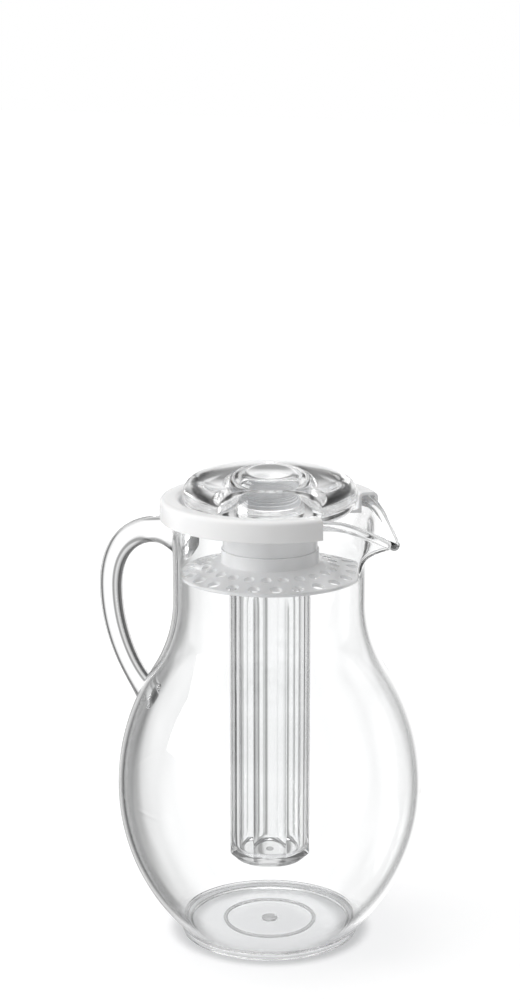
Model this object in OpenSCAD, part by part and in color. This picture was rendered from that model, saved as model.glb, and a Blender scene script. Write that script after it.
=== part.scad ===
// Ice tube pitcher: a clear jug with a pouring lip and a bonded rod handle, a white lid
// that saddles the rim, a strainer under the lid's hub, a clear ice tube that screws up
// into the strainer and a clear knob that screws down into the hub.
// Millimetres, +Z up. The jug's axis is Z, it stands on z = 0 and its lip points to +X.

/* [Jug body] */
// Radius of the belly at its widest
belly_r = 79.3; // [72:0.1:88]
// Height of the widest level, where the two halves are welded
belly_z = 80.7; // [72:0.1:90]
// Radius of the arc that draws the lower half
bowl_arc = 105.5; // [98:0.5:118]
// Radius of the arc that draws the upper half
shoulder_arc = 112; // [100:0.5:120]
// Radius of the neck
neck_r = 50; // [47:0.1:54]
// Height where the neck becomes straight
neck_z = 180; // [172:0.5:184]
// Thickness of the wall
jug_wall = 2.6; // [2:0.1:3.2]
// Height of the tongue that joins the two halves
tongue_h = 2; // [1:0.1:3]

/* [Foot] */
// Radius of the foot ring
foot_r = 46.4; // [40:0.1:48]
// Height of the foot ring
foot_h = 5; // [4:0.1:7]
// Radial width of the foot ring
foot_w = 4; // [2.5:0.1:6]
// Thickness of the floor
floor_t = 3; // [2:0.1:4]
// Depth of the hollow under the floor
foot_hollow = 2.5; // [1.5:0.1:3.5]
// Radius of the ring moulded under the floor
base_ring_r = 23.6; // [15:0.1:32]
// Width of that ring
base_ring_w = 1.2; // [0.8:0.1:3]
// Height of that ring
base_ring_h = 0.8; // [0.4:0.1:1.2]
// Radius of the gate mark at the middle of the floor
gate_r = 4; // [2:0.1:6]

/* [Rim and lip] */
// Height of the middle of the rim's bead
rim_z = 230; // [222:0.5:240]
// How far the middle of the bead stands out from the neck
rim_out = 2; // [1:0.1:3]
// Radius of the bead itself
bead_r = 2.3; // [1.8:0.1:2.8]
// How far the lip's tip stands out from the rim's circle
lip_out = 17; // [12:0.5:22]
// Radius of the lip's tip in plan
lip_tip_r = 5; // [3:0.1:8]
// Droop of the tip below the rim
lip_droop = 14.5; // [6:0.5:18]
// Half angle over which the lip droops
lip_spread = 36; // [30:1:42]
// How late the neck flares out towards the rim
neck_flare = 5; // [3:0.1:6]

/* [Handle] */
// Depth of the upper pad's middle below the rim
handle_drop = 24; // [22:0.5:30]
// Height of the lower pad's middle
handle_foot_z = 119.5; // [110:0.5:130]
// Height at which the rod stands out furthest
handle_mid_z = 176; // [165:0.5:185]
// Finger room between the neck and the rod
finger_gap = 38; // [30:0.5:46]
// Radius of the rod at its upper end
rod_top_r = 7.2; // [6:0.1:8]
// Radius of the rod at its lower end
rod_foot_r = 5.2; // [4:0.1:6.5]
// Radius of the upper pad
pad_top_r = 11.5; // [9:0.1:13]
// Radius of the lower pad
pad_foot_r = 7.8; // [6.5:0.1:10]

/* [Lid] */
// Thickness of the lid's walls
lid_wall = 1.6; // [1.2:0.1:2]
// Radial width of the channel that takes the rim
channel_w = 7; // [6.4:0.1:7.6]
// Height of the outer skirt
skirt_h = 10.8; // [8:0.1:13]
// Depth of the dish below the lid's top
dish_depth = 9; // [7:0.1:11]
// Rounding of the lid's top edges
lid_round = 2.6; // [2:0.1:3]
// Angle that the notch leaves free on each side of the lip
notch_room = 2.5; // [1.5:0.5:8]
// Fillet where the notch meets the hub's flange
notch_fillet = 5; // [2:0.5:7]
// Thickness of the hub's wall
hub_wall = 3.05; // [2.4:0.05:4]
// Width of the floor that the notch leaves round the hub
hub_flange_w = 3.4; // [2:0.1:5]
// Depth of the hub below the dish
hub_h = 17.3; // [14:0.1:20]
// Length of the hub's spigot in the strainer
spigot_h = 5; // [3:0.1:6]

/* [Strainer] */
// Height of the collar
collar_h = 6.9; // [6.4:0.1:9]
// Step of the collar beyond the hub
collar_step = 0.85; // [0.4:0.05:1.5]
// Thickness of the flange
flange_t = 1.8; // [1.2:0.1:2.4]
// Slope of the flange, down from the collar
flange_slope = 15; // [5:0.5:20]
// Holes in each of the two rows
hole_count = 24; // [12:1:26]
// Radius of the outer row's holes
outer_hole_r = 3; // [2:0.1:3.4]
// Radius of the inner row's holes
inner_hole_r = 2.6; // [1.8:0.1:3]
// Distance of the outer row from the flange's edge
outer_row_in = 4.4; // [4:0.1:6]
// Distance between the rows
row_pitch = 9.2; // [8:0.1:10]

/* [Ice tube] */
// Ledge of the eight flats beyond the neck's thread
tube_ledge = 0.6; // [0.3:0.1:2]
// Length below the neck
tube_body_h = 149.5; // [110:0.5:160]
// Radius of the neck
tube_neck_r = 19.2; // [18.6:0.1:19.8]
// Length of the neck
tube_neck_h = 8.5; // [6:0.1:10]
// Thickness of the neck's wall
tube_neck_wall = 1.9; // [1.5:0.1:3]
// Thickness of the tube's floor
tube_floor = 4; // [2.5:0.1:6]
// Height of the shoulder that trims the corners under the neck
tube_shoulder_h = 3.8; // [2:0.1:6]
// Bevel round the bottom
tube_bevel = 2.2; // [1:0.1:3]
// Radius of the hollow under the tube's floor
tube_hollow_r = 14.2; // [8:0.1:16]
// Depth of that hollow
tube_hollow = 0.8; // [0.4:0.1:1.5]
// Number of flats round it
tube_flats = 8; // [6:1:12]
// Way that one of the flats faces, from +X
tube_turn = 26; // [0:1:45]

/* [Knob] */
// Radius of the round edge
knob_round = 10; // [8:0.1:12]
// Rise of the domed top above the round edge
knob_dome = 6.4; // [3:0.1:9]
// How far the dome reaches out over the crown of the round edge
dome_over = 1.4; // [0:0.1:3]
// Radius of the stem, under its thread
stem_r = 20.1; // [19.4:0.1:20.6]
// Length of the stem below the round edge
stem_h = 26.6; // [22:0.1:27]
// Thickness of the stem's wall
stem_wall = 2.4; // [1.8:0.1:4]
// Height of the bore above the knob's underside
stem_bore_rise = 11.5; // [5:0.1:14]
// Rounding of the bore's end
stem_bore_round = 8; // [4:0.1:12]
// Bevel at the stem's lower end
stem_bevel = 1.2; // [0.5:0.1:2]

/* [Fits] */
// Height of the ridges of both threads
thread_h = 0.8; // [0.5:0.05:1]
// Room round a thread
thread_gap = 0.3; // [0.2:0.05:0.6]
// Room under a piece that is set down on another
seat_gap = 0.3; // [0.2:0.05:0.5]
// Room between the rim's bead and the lid's skirt
skirt_gap = 0.6; // [0.4:0.05:1]
// Room between the strainer and the neck
neck_gap = 1; // [0.6:0.1:2]
// Room between the knob and the wall of the dish
knob_gap = 1.5; // [1:0.1:3]
// Room between the stem's end and the tube's neck
stem_gap = 0.6; // [0.4:0.1:2]
// Room in the spigot joint of hub and strainer
spigot_gap = 0.1; // [0.05:0.05:0.2]
// Glue line under the handle's pads, in the weld of the two halves and under the lip
bond_gap = 0.05; // [0.02:0.01:0.1]

/* [Hidden] */
$fn = 96;
clear_plastic = [0.86, 0.91, 0.93, 0.45];
white_plastic = [0.95, 0.95, 0.95];
// Overlap that carries a cut through a face
through = 1;
// Bite that makes a fillet cross the lines it would only touch
fillet_bite = 0.05;

// Jug outline: two arcs on the level of the belly, and a third that leads into the neck
bowl_mid = [belly_r - bowl_arc, belly_z];
shoulder_mid = [belly_r - shoulder_arc, belly_z];
blend_run = neck_r - shoulder_mid.x;
blend_rise = neck_z - belly_z;
blend_arc = (pow(blend_run, 2) + pow(blend_rise, 2) - pow(shoulder_arc, 2))
    / (2 * (shoulder_arc - blend_run));
blend_mid = [neck_r + blend_arc, neck_z];
blend_way = (blend_mid - shoulder_mid) / norm(blend_mid - shoulder_mid);
floor_z = foot_hollow + floor_t;
tongue_w = jug_wall / 2;

// Neck and lip, a loft from the neck's circle to the drooping rim
rim_r = neck_r + rim_out;
loft_rise = 6;
loft_half = jug_wall / 2;
loft_r = neck_r - loft_half;
loft_z = neck_z + loft_rise;
loft_turns = 42;
loft_crowding = 1.6;
wall_steps = 8;
bead_steps = 8;
bead_join = acos(loft_half / bead_r);
lip_mid = rim_r + lip_out - lip_tip_r;
lip_tangent = acos((rim_r - lip_tip_r) / lip_mid);
lip_tip_angle = atan2(lip_tip_r * sin(lip_tangent), lip_mid + lip_tip_r * cos(lip_tangent));
lip_ease = 2.3;
lip_soft = 2;

// Handle: two curves that meet where the rod stands out furthest, and their guide points
handle_top_z = rim_z - handle_drop;
rod_sink = 3;
rod_run = 22;
rod_rise = 11;
rod_bend = 28;
rod_fall = 22;
rod_landing = 13;
rod_mid_r = (rod_top_r + rod_foot_r) / 2;
rod_reach = neck_r + finger_gap + rod_mid_r;
rod_sides = 20;
rod_steps = 30;
pad_run = 0.42;

// Lid, stacked up from the rim
lid_seat_z = rim_z + bead_r + seat_gap;
lid_top = lid_seat_z + lid_wall;
lid_r = rim_r + bead_r + skirt_gap + lid_wall;
rail_w = channel_w + 2 * lid_wall;
dish_r = lid_r - rail_w;
notch_half = lip_tangent - acos(rim_r / (rim_r + skirt_gap)) + notch_room;
dish_z = lid_top - dish_depth;
hub_bore_r = stem_r + thread_h + thread_gap;
hub_r = hub_bore_r + hub_wall;
hub_end_z = dish_z - hub_h;
spigot_r = hub_bore_r + hub_wall / 2;
hub_flange_r = hub_r + hub_flange_w;

// Strainer, hung from the hub
collar_r = hub_r + collar_step;
collar_z = hub_end_z - collar_h;
strainer_r = neck_r - jug_wall - neck_gap;
flange_drop = (strainer_r - collar_r) * tan(flange_slope);
socket_r = tube_neck_r + thread_h + thread_gap;
outer_row_r = strainer_r - outer_row_in;
inner_row_r = outer_row_r - row_pitch;

// Knob, set down in the dish
knob_r = dish_r - knob_gap;
knob_seat_z = dish_z + seat_gap;
knob_edge_r = knob_r - knob_round;
knob_mid_z = knob_seat_z + knob_round;
knob_rim_r = knob_edge_r + dome_over;
knob_rim_z = knob_mid_z + sqrt(pow(knob_round, 2) - pow(dome_over, 2));
dome_arc = (pow(knob_rim_r, 2) + pow(knob_dome, 2)) / (2 * knob_dome);
stem_end_z = knob_seat_z - stem_h;
stem_bore_r = stem_r - stem_wall;
stem_bore_z = knob_seat_z + stem_bore_rise;

// Ice tube, screwed up under the stem
tube_top = stem_end_z - stem_gap;
tube_shoulder_z = tube_top - tube_neck_h;
tube_bottom = tube_shoulder_z - tube_body_h;
tube_collar_r = tube_neck_r + thread_h;
tube_flat_r = tube_collar_r + tube_ledge;
tube_corner_r = tube_flat_r / cos(180 / tube_flats);
tube_bore_r = tube_neck_r - tube_neck_wall;
socket_end_z = tube_shoulder_z + seat_gap;
socket_wall = 2.8;
socket_stop_z = tube_top + seat_gap;

// Radius of the jug at a height above the belly
function shoulder_r(z) =
    z <= (shoulder_mid + blend_way * shoulder_arc).y
        ? shoulder_mid.x + sqrt(pow(shoulder_arc, 2) - pow(z - belly_z, 2))
    : z <= neck_z
        ? blend_mid.x - sqrt(pow(blend_arc, 2) - pow(neck_z - z, 2))
    : neck_r;

// Rim seen from above: a circle, two straight tangents and a round tip
function lip_r(a) =
    abs(a) >= lip_tangent ? rim_r
    : abs(a) >= lip_tip_angle ? rim_r / cos(lip_tangent - abs(a))
    : lip_mid * cos(a) + sqrt(pow(lip_tip_r, 2) - pow(lip_mid * sin(a), 2));

// Way that the rim faces in plan
function lip_way(a) =
    abs(a) >= lip_tangent ? a
    : abs(a) >= lip_tip_angle ? sign(a) * lip_tangent
    : atan2(lip_r(a) * sin(a), lip_r(a) * cos(a) - lip_mid);

function lip_share(a) =
    let (soft = sqrt(pow(a, 2) + pow(lip_soft, 2)) - lip_soft)
    soft < lip_spread ? pow(1 - soft / lip_spread, lip_ease) : 0;

function lip_z(a) = rim_z - lip_droop * lip_share(a);

// Lean of the wall from upright, at a share v of its height
function wall_lean(a, v) =
    atan((lip_r(a) - loft_r) * cos(lip_way(a) - a) * neck_flare * pow(v, neck_flare - 1)
        / (lip_z(a) - loft_z));

// Point at a share v of the wall's height, set off square to the wall
function wall_point(a, v, off) =
    let (flare = pow(v, neck_flare),
         way = a + (lip_way(a) - a) * flare,
         r = loft_r + (lip_r(a) - loft_r) * flare,
         lean = wall_lean(a, v),
         out = off * cos(lean))
    [r * cos(a) + out * cos(way),
     r * sin(a) + out * sin(way),
     loft_z + (lip_z(a) - loft_z) * v - off * sin(lean)];

// Point on the bead, turned from the wall's outer side over the top
function bead_point(a, turn) =
    let (lean = wall_lean(a, 1),
         out = bead_r * cos(turn - lean))
    [lip_r(a) * cos(a) + out * cos(lip_way(a)),
     lip_r(a) * sin(a) + out * sin(lip_way(a)),
     lip_z(a) + bead_r * sin(turn - lean)];

// Share of the wall's height at which it runs into the bead
function wall_end(a) =
    1 - bead_r * sin(bead_join) * cos(wall_lean(a, 1)) / (lip_z(a) - loft_z);

// Closed outline of the wall and bead at one angle
function lip_section(a) = concat(
    [for (i = [0:wall_steps]) wall_point(a, wall_end(a) * i / wall_steps, loft_half)],
    [for (i = [1:bead_steps - 1])
        bead_point(a, -bead_join + (180 + 2 * bead_join) * i / bead_steps)],
    [for (i = [wall_steps:-1:0]) wall_point(a, wall_end(a) * i / wall_steps, -loft_half)]);

// Angles round the rim, crowded together at the lip's tip
lip_angles = [for (i = [-loft_turns + 1:loft_turns])
    sign(i) * 180 * pow(abs(i) / loft_turns, loft_crowding)];

// Skin over a list of equal closed outlines; the last joins the first if it is a loop
function skin_faces(rows, size, loop) = [
    for (i = [0:rows - (loop ? 1 : 2)])
        for (j = [0:size - 1])
            let (here = i * size,
                 next = ((i + 1) % rows) * size,
                 k = (j + 1) % size)
            each [[here + j, here + k, next + k], [here + j, next + k, next + j]]];

// Point and heading on a curve with four guide points
function curve(p, t) =
    pow(1 - t, 3) * p[0] + 3 * pow(1 - t, 2) * t * p[1]
    + 3 * (1 - t) * pow(t, 2) * p[2] + pow(t, 3) * p[3];
function heading(p, t) =
    let (d = pow(1 - t, 2) * (p[1] - p[0]) + 2 * (1 - t) * t * (p[2] - p[1])
        + pow(t, 2) * (p[3] - p[2]))
    d / norm(d);

rod_upper = [
    [neck_r - rod_sink, handle_top_z],
    [neck_r + rod_run, handle_top_z + rod_rise],
    [rod_reach, handle_mid_z + rod_bend],
    [rod_reach, handle_mid_z]];
rod_lower = [
    [rod_reach, handle_mid_z],
    [rod_reach, handle_mid_z - rod_fall],
    [shoulder_r(handle_foot_z) + rod_landing, handle_foot_z + rod_landing],
    [shoulder_r(handle_foot_z) - rod_sink, handle_foot_z - rod_sink]];

// Radius of the rod along its way from 0 to 2, with a pad flaring out at both ends
function rod_r(t) =
    rod_top_r + (rod_foot_r - rod_top_r) * t / 2
    + (pad_top_r - rod_top_r) * pow(max(0, 1 - t / pad_run), 3)
    + (pad_foot_r - rod_foot_r) * pow(max(0, 1 - (2 - t) / pad_run), 3);

function rod_ring(t) =
    let (p = t < 1 ? rod_upper : rod_lower,
         s = t < 1 ? t : t - 1,
         mid = curve(p, s),
         way = heading(p, s))
    [for (i = [0:rod_sides - 1])
        let (out = rod_r(t) * cos(360 * i / rod_sides),
             side = rod_r(t) * sin(360 * i / rod_sides))
        [-mid.x - out * way.y, side, mid.y - out * way.x]];

// Half section of the upper jug, set in from its surface
module shoulder_section(inset) {
    blend = shoulder_mid + blend_way * (shoulder_arc - inset);
    intersection() {
        translate(shoulder_mid) circle(shoulder_arc - inset);
        translate([0, belly_z]) square([belly_r, blend.y - belly_z]);
    }
    difference() {
        translate([0, blend.y - through]) square([blend.x, neck_z - blend.y + through]);
        translate(blend_mid) circle(blend_arc + inset);
    }
    translate([0, neck_z - through]) square([neck_r - inset, loft_z - neck_z + through]);
}

// Half section of the lower jug, set in from its surface
module bowl_section(inset, from_z) {
    intersection() {
        translate(bowl_mid) circle(bowl_arc - inset);
        translate([0, from_z]) square([belly_r, belly_z - from_z]);
    }
}

// Band of a section between two heights
module between(low, high) {
    intersection() {
        children();
        translate([0, low]) square([belly_r, high - low]);
    }
}

module jug_lower() {
    color(clear_plastic) {
        rotate_extrude() {
            difference() {
                union() {
                    bowl_section(0, foot_h);
                    square([foot_r, foot_h]);
                }
                bowl_section(jug_wall, floor_z);
                square([foot_r - foot_w, foot_hollow]);
            }
            between(belly_z, belly_z + tongue_h) difference() {
                shoulder_section(tongue_w + bond_gap);
                shoulder_section(jug_wall);
            }
            translate([base_ring_r - base_ring_w / 2, foot_hollow - base_ring_h])
                square([base_ring_w, base_ring_h]);
            translate([0, foot_hollow - base_ring_h]) square([gate_r, base_ring_h]);
        }
    }
}

module jug_upper() {
    color(clear_plastic) rotate_extrude() between(belly_z, loft_z - bond_gap) difference() {
        shoulder_section(0);
        shoulder_section(jug_wall);
        between(belly_z, belly_z + tongue_h + bond_gap) shoulder_section(tongue_w);
    }
}

// Flaring neck with the pouring lip and the rolled rim
module jug_lip() {
    sections = [for (a = lip_angles) lip_section(a)];
    color(clear_plastic) polyhedron(
        points = [for (s = sections) each s],
        faces = skin_faces(len(sections), len(sections[0]), true));
}

// Space that the jug fills, up to the rim, for trimming what is bonded to it
module jug_envelope() {
    rotate_extrude() {
        shoulder_section(-bond_gap);
        polygon(concat(
            [[0, loft_z]],
            [for (i = [0:wall_steps])
                let (p = wall_point(180, i / wall_steps, loft_half + bond_gap))
                [-p.x, p.z]],
            [[0, rim_z]]));
    }
}

module handle() {
    rings = [for (i = [0:rod_steps]) rod_ring(1 - cos(180 * i / rod_steps))];
    caps = [
        [for (j = [rod_sides - 1:-1:0]) j],
        [for (j = [0:rod_sides - 1]) rod_steps * rod_sides + j]];
    color(clear_plastic) difference() {
        polyhedron(
            points = [for (r = rings) each r],
            faces = concat(skin_faces(rod_steps + 1, rod_sides, false), caps));
        jug_envelope();
    }
}

// Bar with both top corners rounded
module rounded_bar(w, h, r) {
    square([w, h - r]);
    translate([r, 0]) square([w - 2 * r, h]);
    for (x = [r, w - r])
        translate([x, h - r]) circle(r);
}

// Plan of the notch: a sector outside the hub's flange, filleted where they meet
module notch_plan() {
    far = 2 * lid_r;
    fillet_r = hub_flange_r + notch_fillet;
    fillet_turn = notch_half - asin(notch_fillet / fillet_r);
    fillet_mid = fillet_r * [cos(fillet_turn), sin(fillet_turn)];
    edge_way = [cos(notch_half), sin(notch_half)];
    aside = [-edge_way.y, edge_way.x];
    difference() {
        polygon([[0, 0],
            far * [cos(notch_half), -sin(notch_half)],
            far * [1, 0],
            far * [cos(notch_half), sin(notch_half)]]);
        circle(hub_flange_r);
        for (side = [0, 1])
            mirror([0, side]) difference() {
                polygon([
                    (hub_flange_r - through) * [cos(fillet_turn), sin(fillet_turn)],
                    fillet_mid,
                    fillet_mid + (notch_fillet + through) * aside,
                    (hub_flange_r - through) * edge_way + through * aside]);
                translate(fillet_mid) circle(notch_fillet + fillet_bite);
            }
    }
}

module lid() {
    color(white_plastic) {
        difference() {
            rotate_extrude() {
                translate([dish_r, lid_top - skirt_h]) difference() {
                    rounded_bar(rail_w, skirt_h, lid_round);
                    translate([lid_wall, -through])
                        rounded_bar(channel_w, skirt_h - lid_wall + through, lid_round - lid_wall);
                }
                translate([hub_bore_r, dish_z - lid_wall])
                    square([dish_r + lid_wall - hub_bore_r, lid_wall]);
            }
            translate([0, 0, hub_end_z])
                linear_extrude(lid_top - hub_end_z + through) notch_plan();
        }
        rotate_extrude() {
            translate([hub_bore_r, hub_end_z])
                square([hub_wall, dish_z - hub_end_z]);
            translate([hub_bore_r, hub_end_z - spigot_h])
                square([spigot_r - hub_bore_r, spigot_h + through]);
        }
    }
}

module strainer() {
    flange_lean = flange_t / cos(flange_slope);
    color(white_plastic) difference() {
        rotate_extrude() difference() {
            union() {
                translate([0, collar_z]) square([collar_r, collar_h]);
                translate([0, socket_end_z])
                    square([socket_r + socket_wall, collar_z + through - socket_end_z]);
                polygon([
                    [socket_r, collar_z - flange_lean],
                    [collar_r, collar_z - flange_lean],
                    [strainer_r, collar_z - flange_drop - flange_lean],
                    [strainer_r, collar_z - flange_drop],
                    [collar_r, collar_z],
                    [collar_r, collar_z + through],
                    [socket_r, collar_z + through]]);
            }
            translate([0, hub_end_z - spigot_h - spigot_gap])
                square([spigot_r + spigot_gap, spigot_h + spigot_gap + through]);
            translate([0, socket_stop_z]) square([hub_bore_r, hub_end_z - socket_stop_z]);
            translate([0, socket_end_z - through])
                square([socket_r, socket_stop_z - socket_end_z + 2 * through]);
        }
        for (i = [0:hole_count - 1])
            rotate(360 * i / hole_count) {
                translate([outer_row_r, 0, socket_end_z - through])
                    cylinder(r = outer_hole_r, h = collar_z - socket_end_z + 2 * through);
                rotate(180 / hole_count) translate([inner_row_r, 0, socket_end_z - through])
                    cylinder(r = inner_hole_r, h = collar_z - socket_end_z + 2 * through);
            }
    }
}

module ice_tube() {
    tube_clear_r = tube_corner_r + through;
    shoulder_fall = tube_shoulder_h * (tube_clear_r - tube_collar_r) / (tube_corner_r - tube_collar_r);
    color(clear_plastic) difference() {
        union() {
            intersection() {
                translate([0, 0, tube_bottom]) rotate(tube_turn - 180 / tube_flats)
                    cylinder(r = tube_corner_r, h = tube_body_h, $fn = tube_flats);
                rotate_extrude() polygon([
                    [0, tube_bottom],
                    [tube_flat_r - tube_bevel, tube_bottom],
                    [tube_clear_r, tube_bottom + tube_clear_r - tube_flat_r + tube_bevel],
                    [tube_clear_r, tube_shoulder_z - shoulder_fall],
                    [tube_collar_r, tube_shoulder_z],
                    [0, tube_shoulder_z]]);
            }
            translate([0, 0, tube_shoulder_z]) cylinder(r = tube_neck_r, h = tube_neck_h);
        }
        translate([0, 0, tube_bottom + tube_floor])
            cylinder(r = tube_bore_r, h = tube_body_h + tube_neck_h);
        translate([0, 0, tube_bottom - through])
            cylinder(r = tube_hollow_r, h = tube_hollow + through);
    }
}

module knob() {
    color(clear_plastic) rotate_extrude() difference() {
        union() {
            translate([0, knob_seat_z]) square([knob_edge_r, 2 * knob_round]);
            translate([knob_edge_r, knob_mid_z]) circle(knob_round);
            intersection() {
                translate([0, knob_rim_z + knob_dome - dome_arc]) circle(dome_arc);
                translate([0, knob_rim_z]) square([knob_rim_r, knob_dome]);
            }
            polygon([
                [0, stem_end_z],
                [stem_r - stem_bevel, stem_end_z],
                [stem_r, stem_end_z + stem_bevel],
                [stem_r, knob_seat_z + through],
                [0, knob_seat_z + through]]);
        }
        translate([0, stem_end_z - through])
            square([stem_bore_r, stem_bore_z - stem_bore_round - stem_end_z + through]);
        square([stem_bore_r - stem_bore_round, stem_bore_z]);
        intersection() {
            translate([stem_bore_r - stem_bore_round, stem_bore_z - stem_bore_round])
                circle(stem_bore_round);
            square([stem_bore_r, stem_bore_z]);
        }
    }
}

jug_lower();
jug_upper();
jug_lip();
handle();
lid();
strainer();
ice_tube();
knob();
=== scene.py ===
"""Ice tube pitcher: smooth clear jug, handle, ice tube and knob, white lid and strainer,
their finishes and a bright studio, built around the part's own solids."""

import math

import bpy
import numpy as np
from bpy.props import FloatProperty, FloatVectorProperty, IntProperty, PointerProperty
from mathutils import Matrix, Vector


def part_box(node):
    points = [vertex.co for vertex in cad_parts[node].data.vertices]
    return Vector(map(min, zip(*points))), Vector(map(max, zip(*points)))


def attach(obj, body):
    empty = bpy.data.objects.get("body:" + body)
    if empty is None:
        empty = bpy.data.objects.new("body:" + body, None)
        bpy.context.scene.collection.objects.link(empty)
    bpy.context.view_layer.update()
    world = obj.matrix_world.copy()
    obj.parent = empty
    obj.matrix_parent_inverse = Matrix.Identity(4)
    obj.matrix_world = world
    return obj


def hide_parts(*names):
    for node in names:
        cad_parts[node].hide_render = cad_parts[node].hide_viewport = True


bl_info = {
    "name": "Ice tube pitcher",
    "version": (1, 0, 0),
    "blender": (4, 5, 0),
    "location": "3D View > Sidebar > Pitcher",
    "description": "Builds the pitcher's jug, handle, lid, strainer, ice tube and knob",
    "category": "Object",
}

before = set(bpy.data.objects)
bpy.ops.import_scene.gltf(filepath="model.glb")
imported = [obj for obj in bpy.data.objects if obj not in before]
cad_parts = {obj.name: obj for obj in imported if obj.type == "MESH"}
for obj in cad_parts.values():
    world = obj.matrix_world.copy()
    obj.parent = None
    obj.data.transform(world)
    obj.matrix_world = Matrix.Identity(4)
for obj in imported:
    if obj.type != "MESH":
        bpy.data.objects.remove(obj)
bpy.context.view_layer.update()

# Light of the room by degrees to the right of the camera's way. A colour ramp takes 32 stops.
WINDOW = (
    (-180, 0.45), (-162, 0.8), (-146, 0.8), (-132, 0.45), (-117, 0.8), (-101, 0.8), (-87, 0.1),
    (-73, 0.8), (-57, 0.8), (-52, 0.1), (-31, 0.05), (-24, 0.42), (-20, 0.64), (-15, 0.64),
    (-13, 0.3), (-8.5, 0.3), (-6, 0.8), (-3.5, 1.0), (18, 1.0), (27, 0.75), (36, 0.1),
    (46, 0.1), (53, 0.85), (78, 0.85), (93, 0.1), (109, 0.8), (138, 0.45), (153, 0.8),
    (168, 0.8), (180, 0.45),
)
# How much of the window's pattern counts, by degrees of height
REACH = ((-90, 0.0), (-66, 0.0), (-48, 1.0), (44, 1.0), (60, 0.0), (90, 0.0))
# Light of the room by degrees of height
BANDS = (
    (-90, 0.75), (-54, 0.7), (-40, 1.0), (9, 1.0), (19, 0.3), (34, 0.3), (48, 1.0), (90, 1.0),
)
# Soft square lamps: name, place, the point each one faces, its side and its watts
LAMPS = (
    ("key", (-1.06, -0.89, 0.62), (0.0, 0.0, 0.2), 0.7, 12.0),
    ("top", (-0.25, 0.1, 1.65), (0.0, 0.0, 0.1), 1.1, 10.0),
)
# Roundings of moulded edges, from the finest up
FINE, SMALL, FULL = 0.0003, 0.0004, 0.0006
# How far a wall may lie from a thread's root radius and still be threaded
THREAD_BAND = 0.00008
# Longest steps of the meshes along straights, from fine to coarse
STEP_FINE, STEP_MID, STEP_WIDE = 0.003, 0.004, 0.006
# Distances from the axis between which the floor changes: its glow, the painted contact shadow
# inside and outside the foot ring, and the way it opens to light that has passed the clear pieces
GLOW_RUN = (0.1, 1.5)
SHADE_IN = (0.034, 0.041)
SHADE_OUT = (0.047, 0.056)
OPEN_RUN = (0.045, 0.06)


def length(name, description, default):
    """A size in metres for the panel."""
    return FloatProperty(
        name=name,
        description=description,
        default=default,
        unit="LENGTH",
        subtype="DISTANCE",
        precision=5,
    )


def turn(name, description, degrees):
    """An angle for the panel."""
    return FloatProperty(
        name=name,
        description=description,
        default=math.radians(degrees),
        unit="ROTATION",
        subtype="ANGLE",
    )


def number(name, description, default):
    """A plain number for the panel."""
    return FloatProperty(name=name, description=description, default=default, precision=4)


def colour(name, description, default):
    """A colour for the panel."""
    return FloatVectorProperty(
        name=name,
        description=description,
        default=default,
        size=4,
        min=0.0,
        max=1.0,
        subtype="COLOR",
    )


class JugSizes(bpy.types.PropertyGroup):
    """Sizes of the jug"""

    belly_r: length("Belly radius", "Radius of the belly at its widest", 0.0793)
    belly_z: length("Belly height", "Height of the widest level and of the weld", 0.0807)
    bowl_arc: length("Bowl arc", "Radius of the arc that draws the lower half", 0.1055)
    shoulder_arc: length("Shoulder arc", "Radius of the arc that draws the upper half", 0.112)
    neck_r: length("Neck radius", "Radius of the straight neck", 0.050)
    neck_z: length("Neck height", "Height where the neck becomes straight", 0.180)
    wall: length("Wall", "Thickness of the wall", 0.0026)
    foot_r: length("Foot radius", "Radius of the foot ring", 0.0464)
    foot_h: length("Foot height", "Height of the foot ring", 0.005)
    foot_w: length("Foot width", "Radial width of the foot ring", 0.004)
    floor_t: length("Floor", "Thickness of the floor", 0.003)
    foot_hollow: length("Foot hollow", "Depth of the hollow under the floor", 0.0025)
    ring_r: length("Base ring radius", "Radius of the ring moulded under the floor", 0.0236)
    ring_w: length("Base ring width", "Width of that ring", 0.0012)
    ring_h: length("Base ring height", "Height of that ring", 0.0008)
    gate_r: length("Gate radius", "Radius of the gate mark under the floor", 0.004)
    seam_w: length("Weld width", "Half width of the weld's groove", 0.0004)
    seam_d: length("Weld depth", "Depth of the weld's groove", 0.000012)
    rim_z: length("Rim height", "Height of the middle of the rim's bead", 0.230)
    rim_out: length("Rim reach", "How far the bead's middle stands out from the neck", 0.002)
    bead_r: length("Bead radius", "Radius of the rim's bead", 0.0023)
    lip_out: length("Lip reach", "How far the lip stands out from the rim", 0.017)
    lip_tip_r: length("Lip tip radius", "Radius of the lip's tip in plan", 0.005)
    lip_droop: length("Lip droop", "Droop of the tip below the rim", 0.0145)
    lip_spread: turn("Lip spread", "Half angle over which the lip droops", 36)
    lip_soft: turn("Lip softness", "Half angle over which the tip is rounded off", 2)
    lip_ease: number("Lip ease", "How fast the droop fades away from the tip", 2.3)
    flare: number("Neck flare", "How late the neck flares out towards the rim", 5.0)
    loft_z: length("Flare start", "Height where the neck begins to flare", 0.186)


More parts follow.
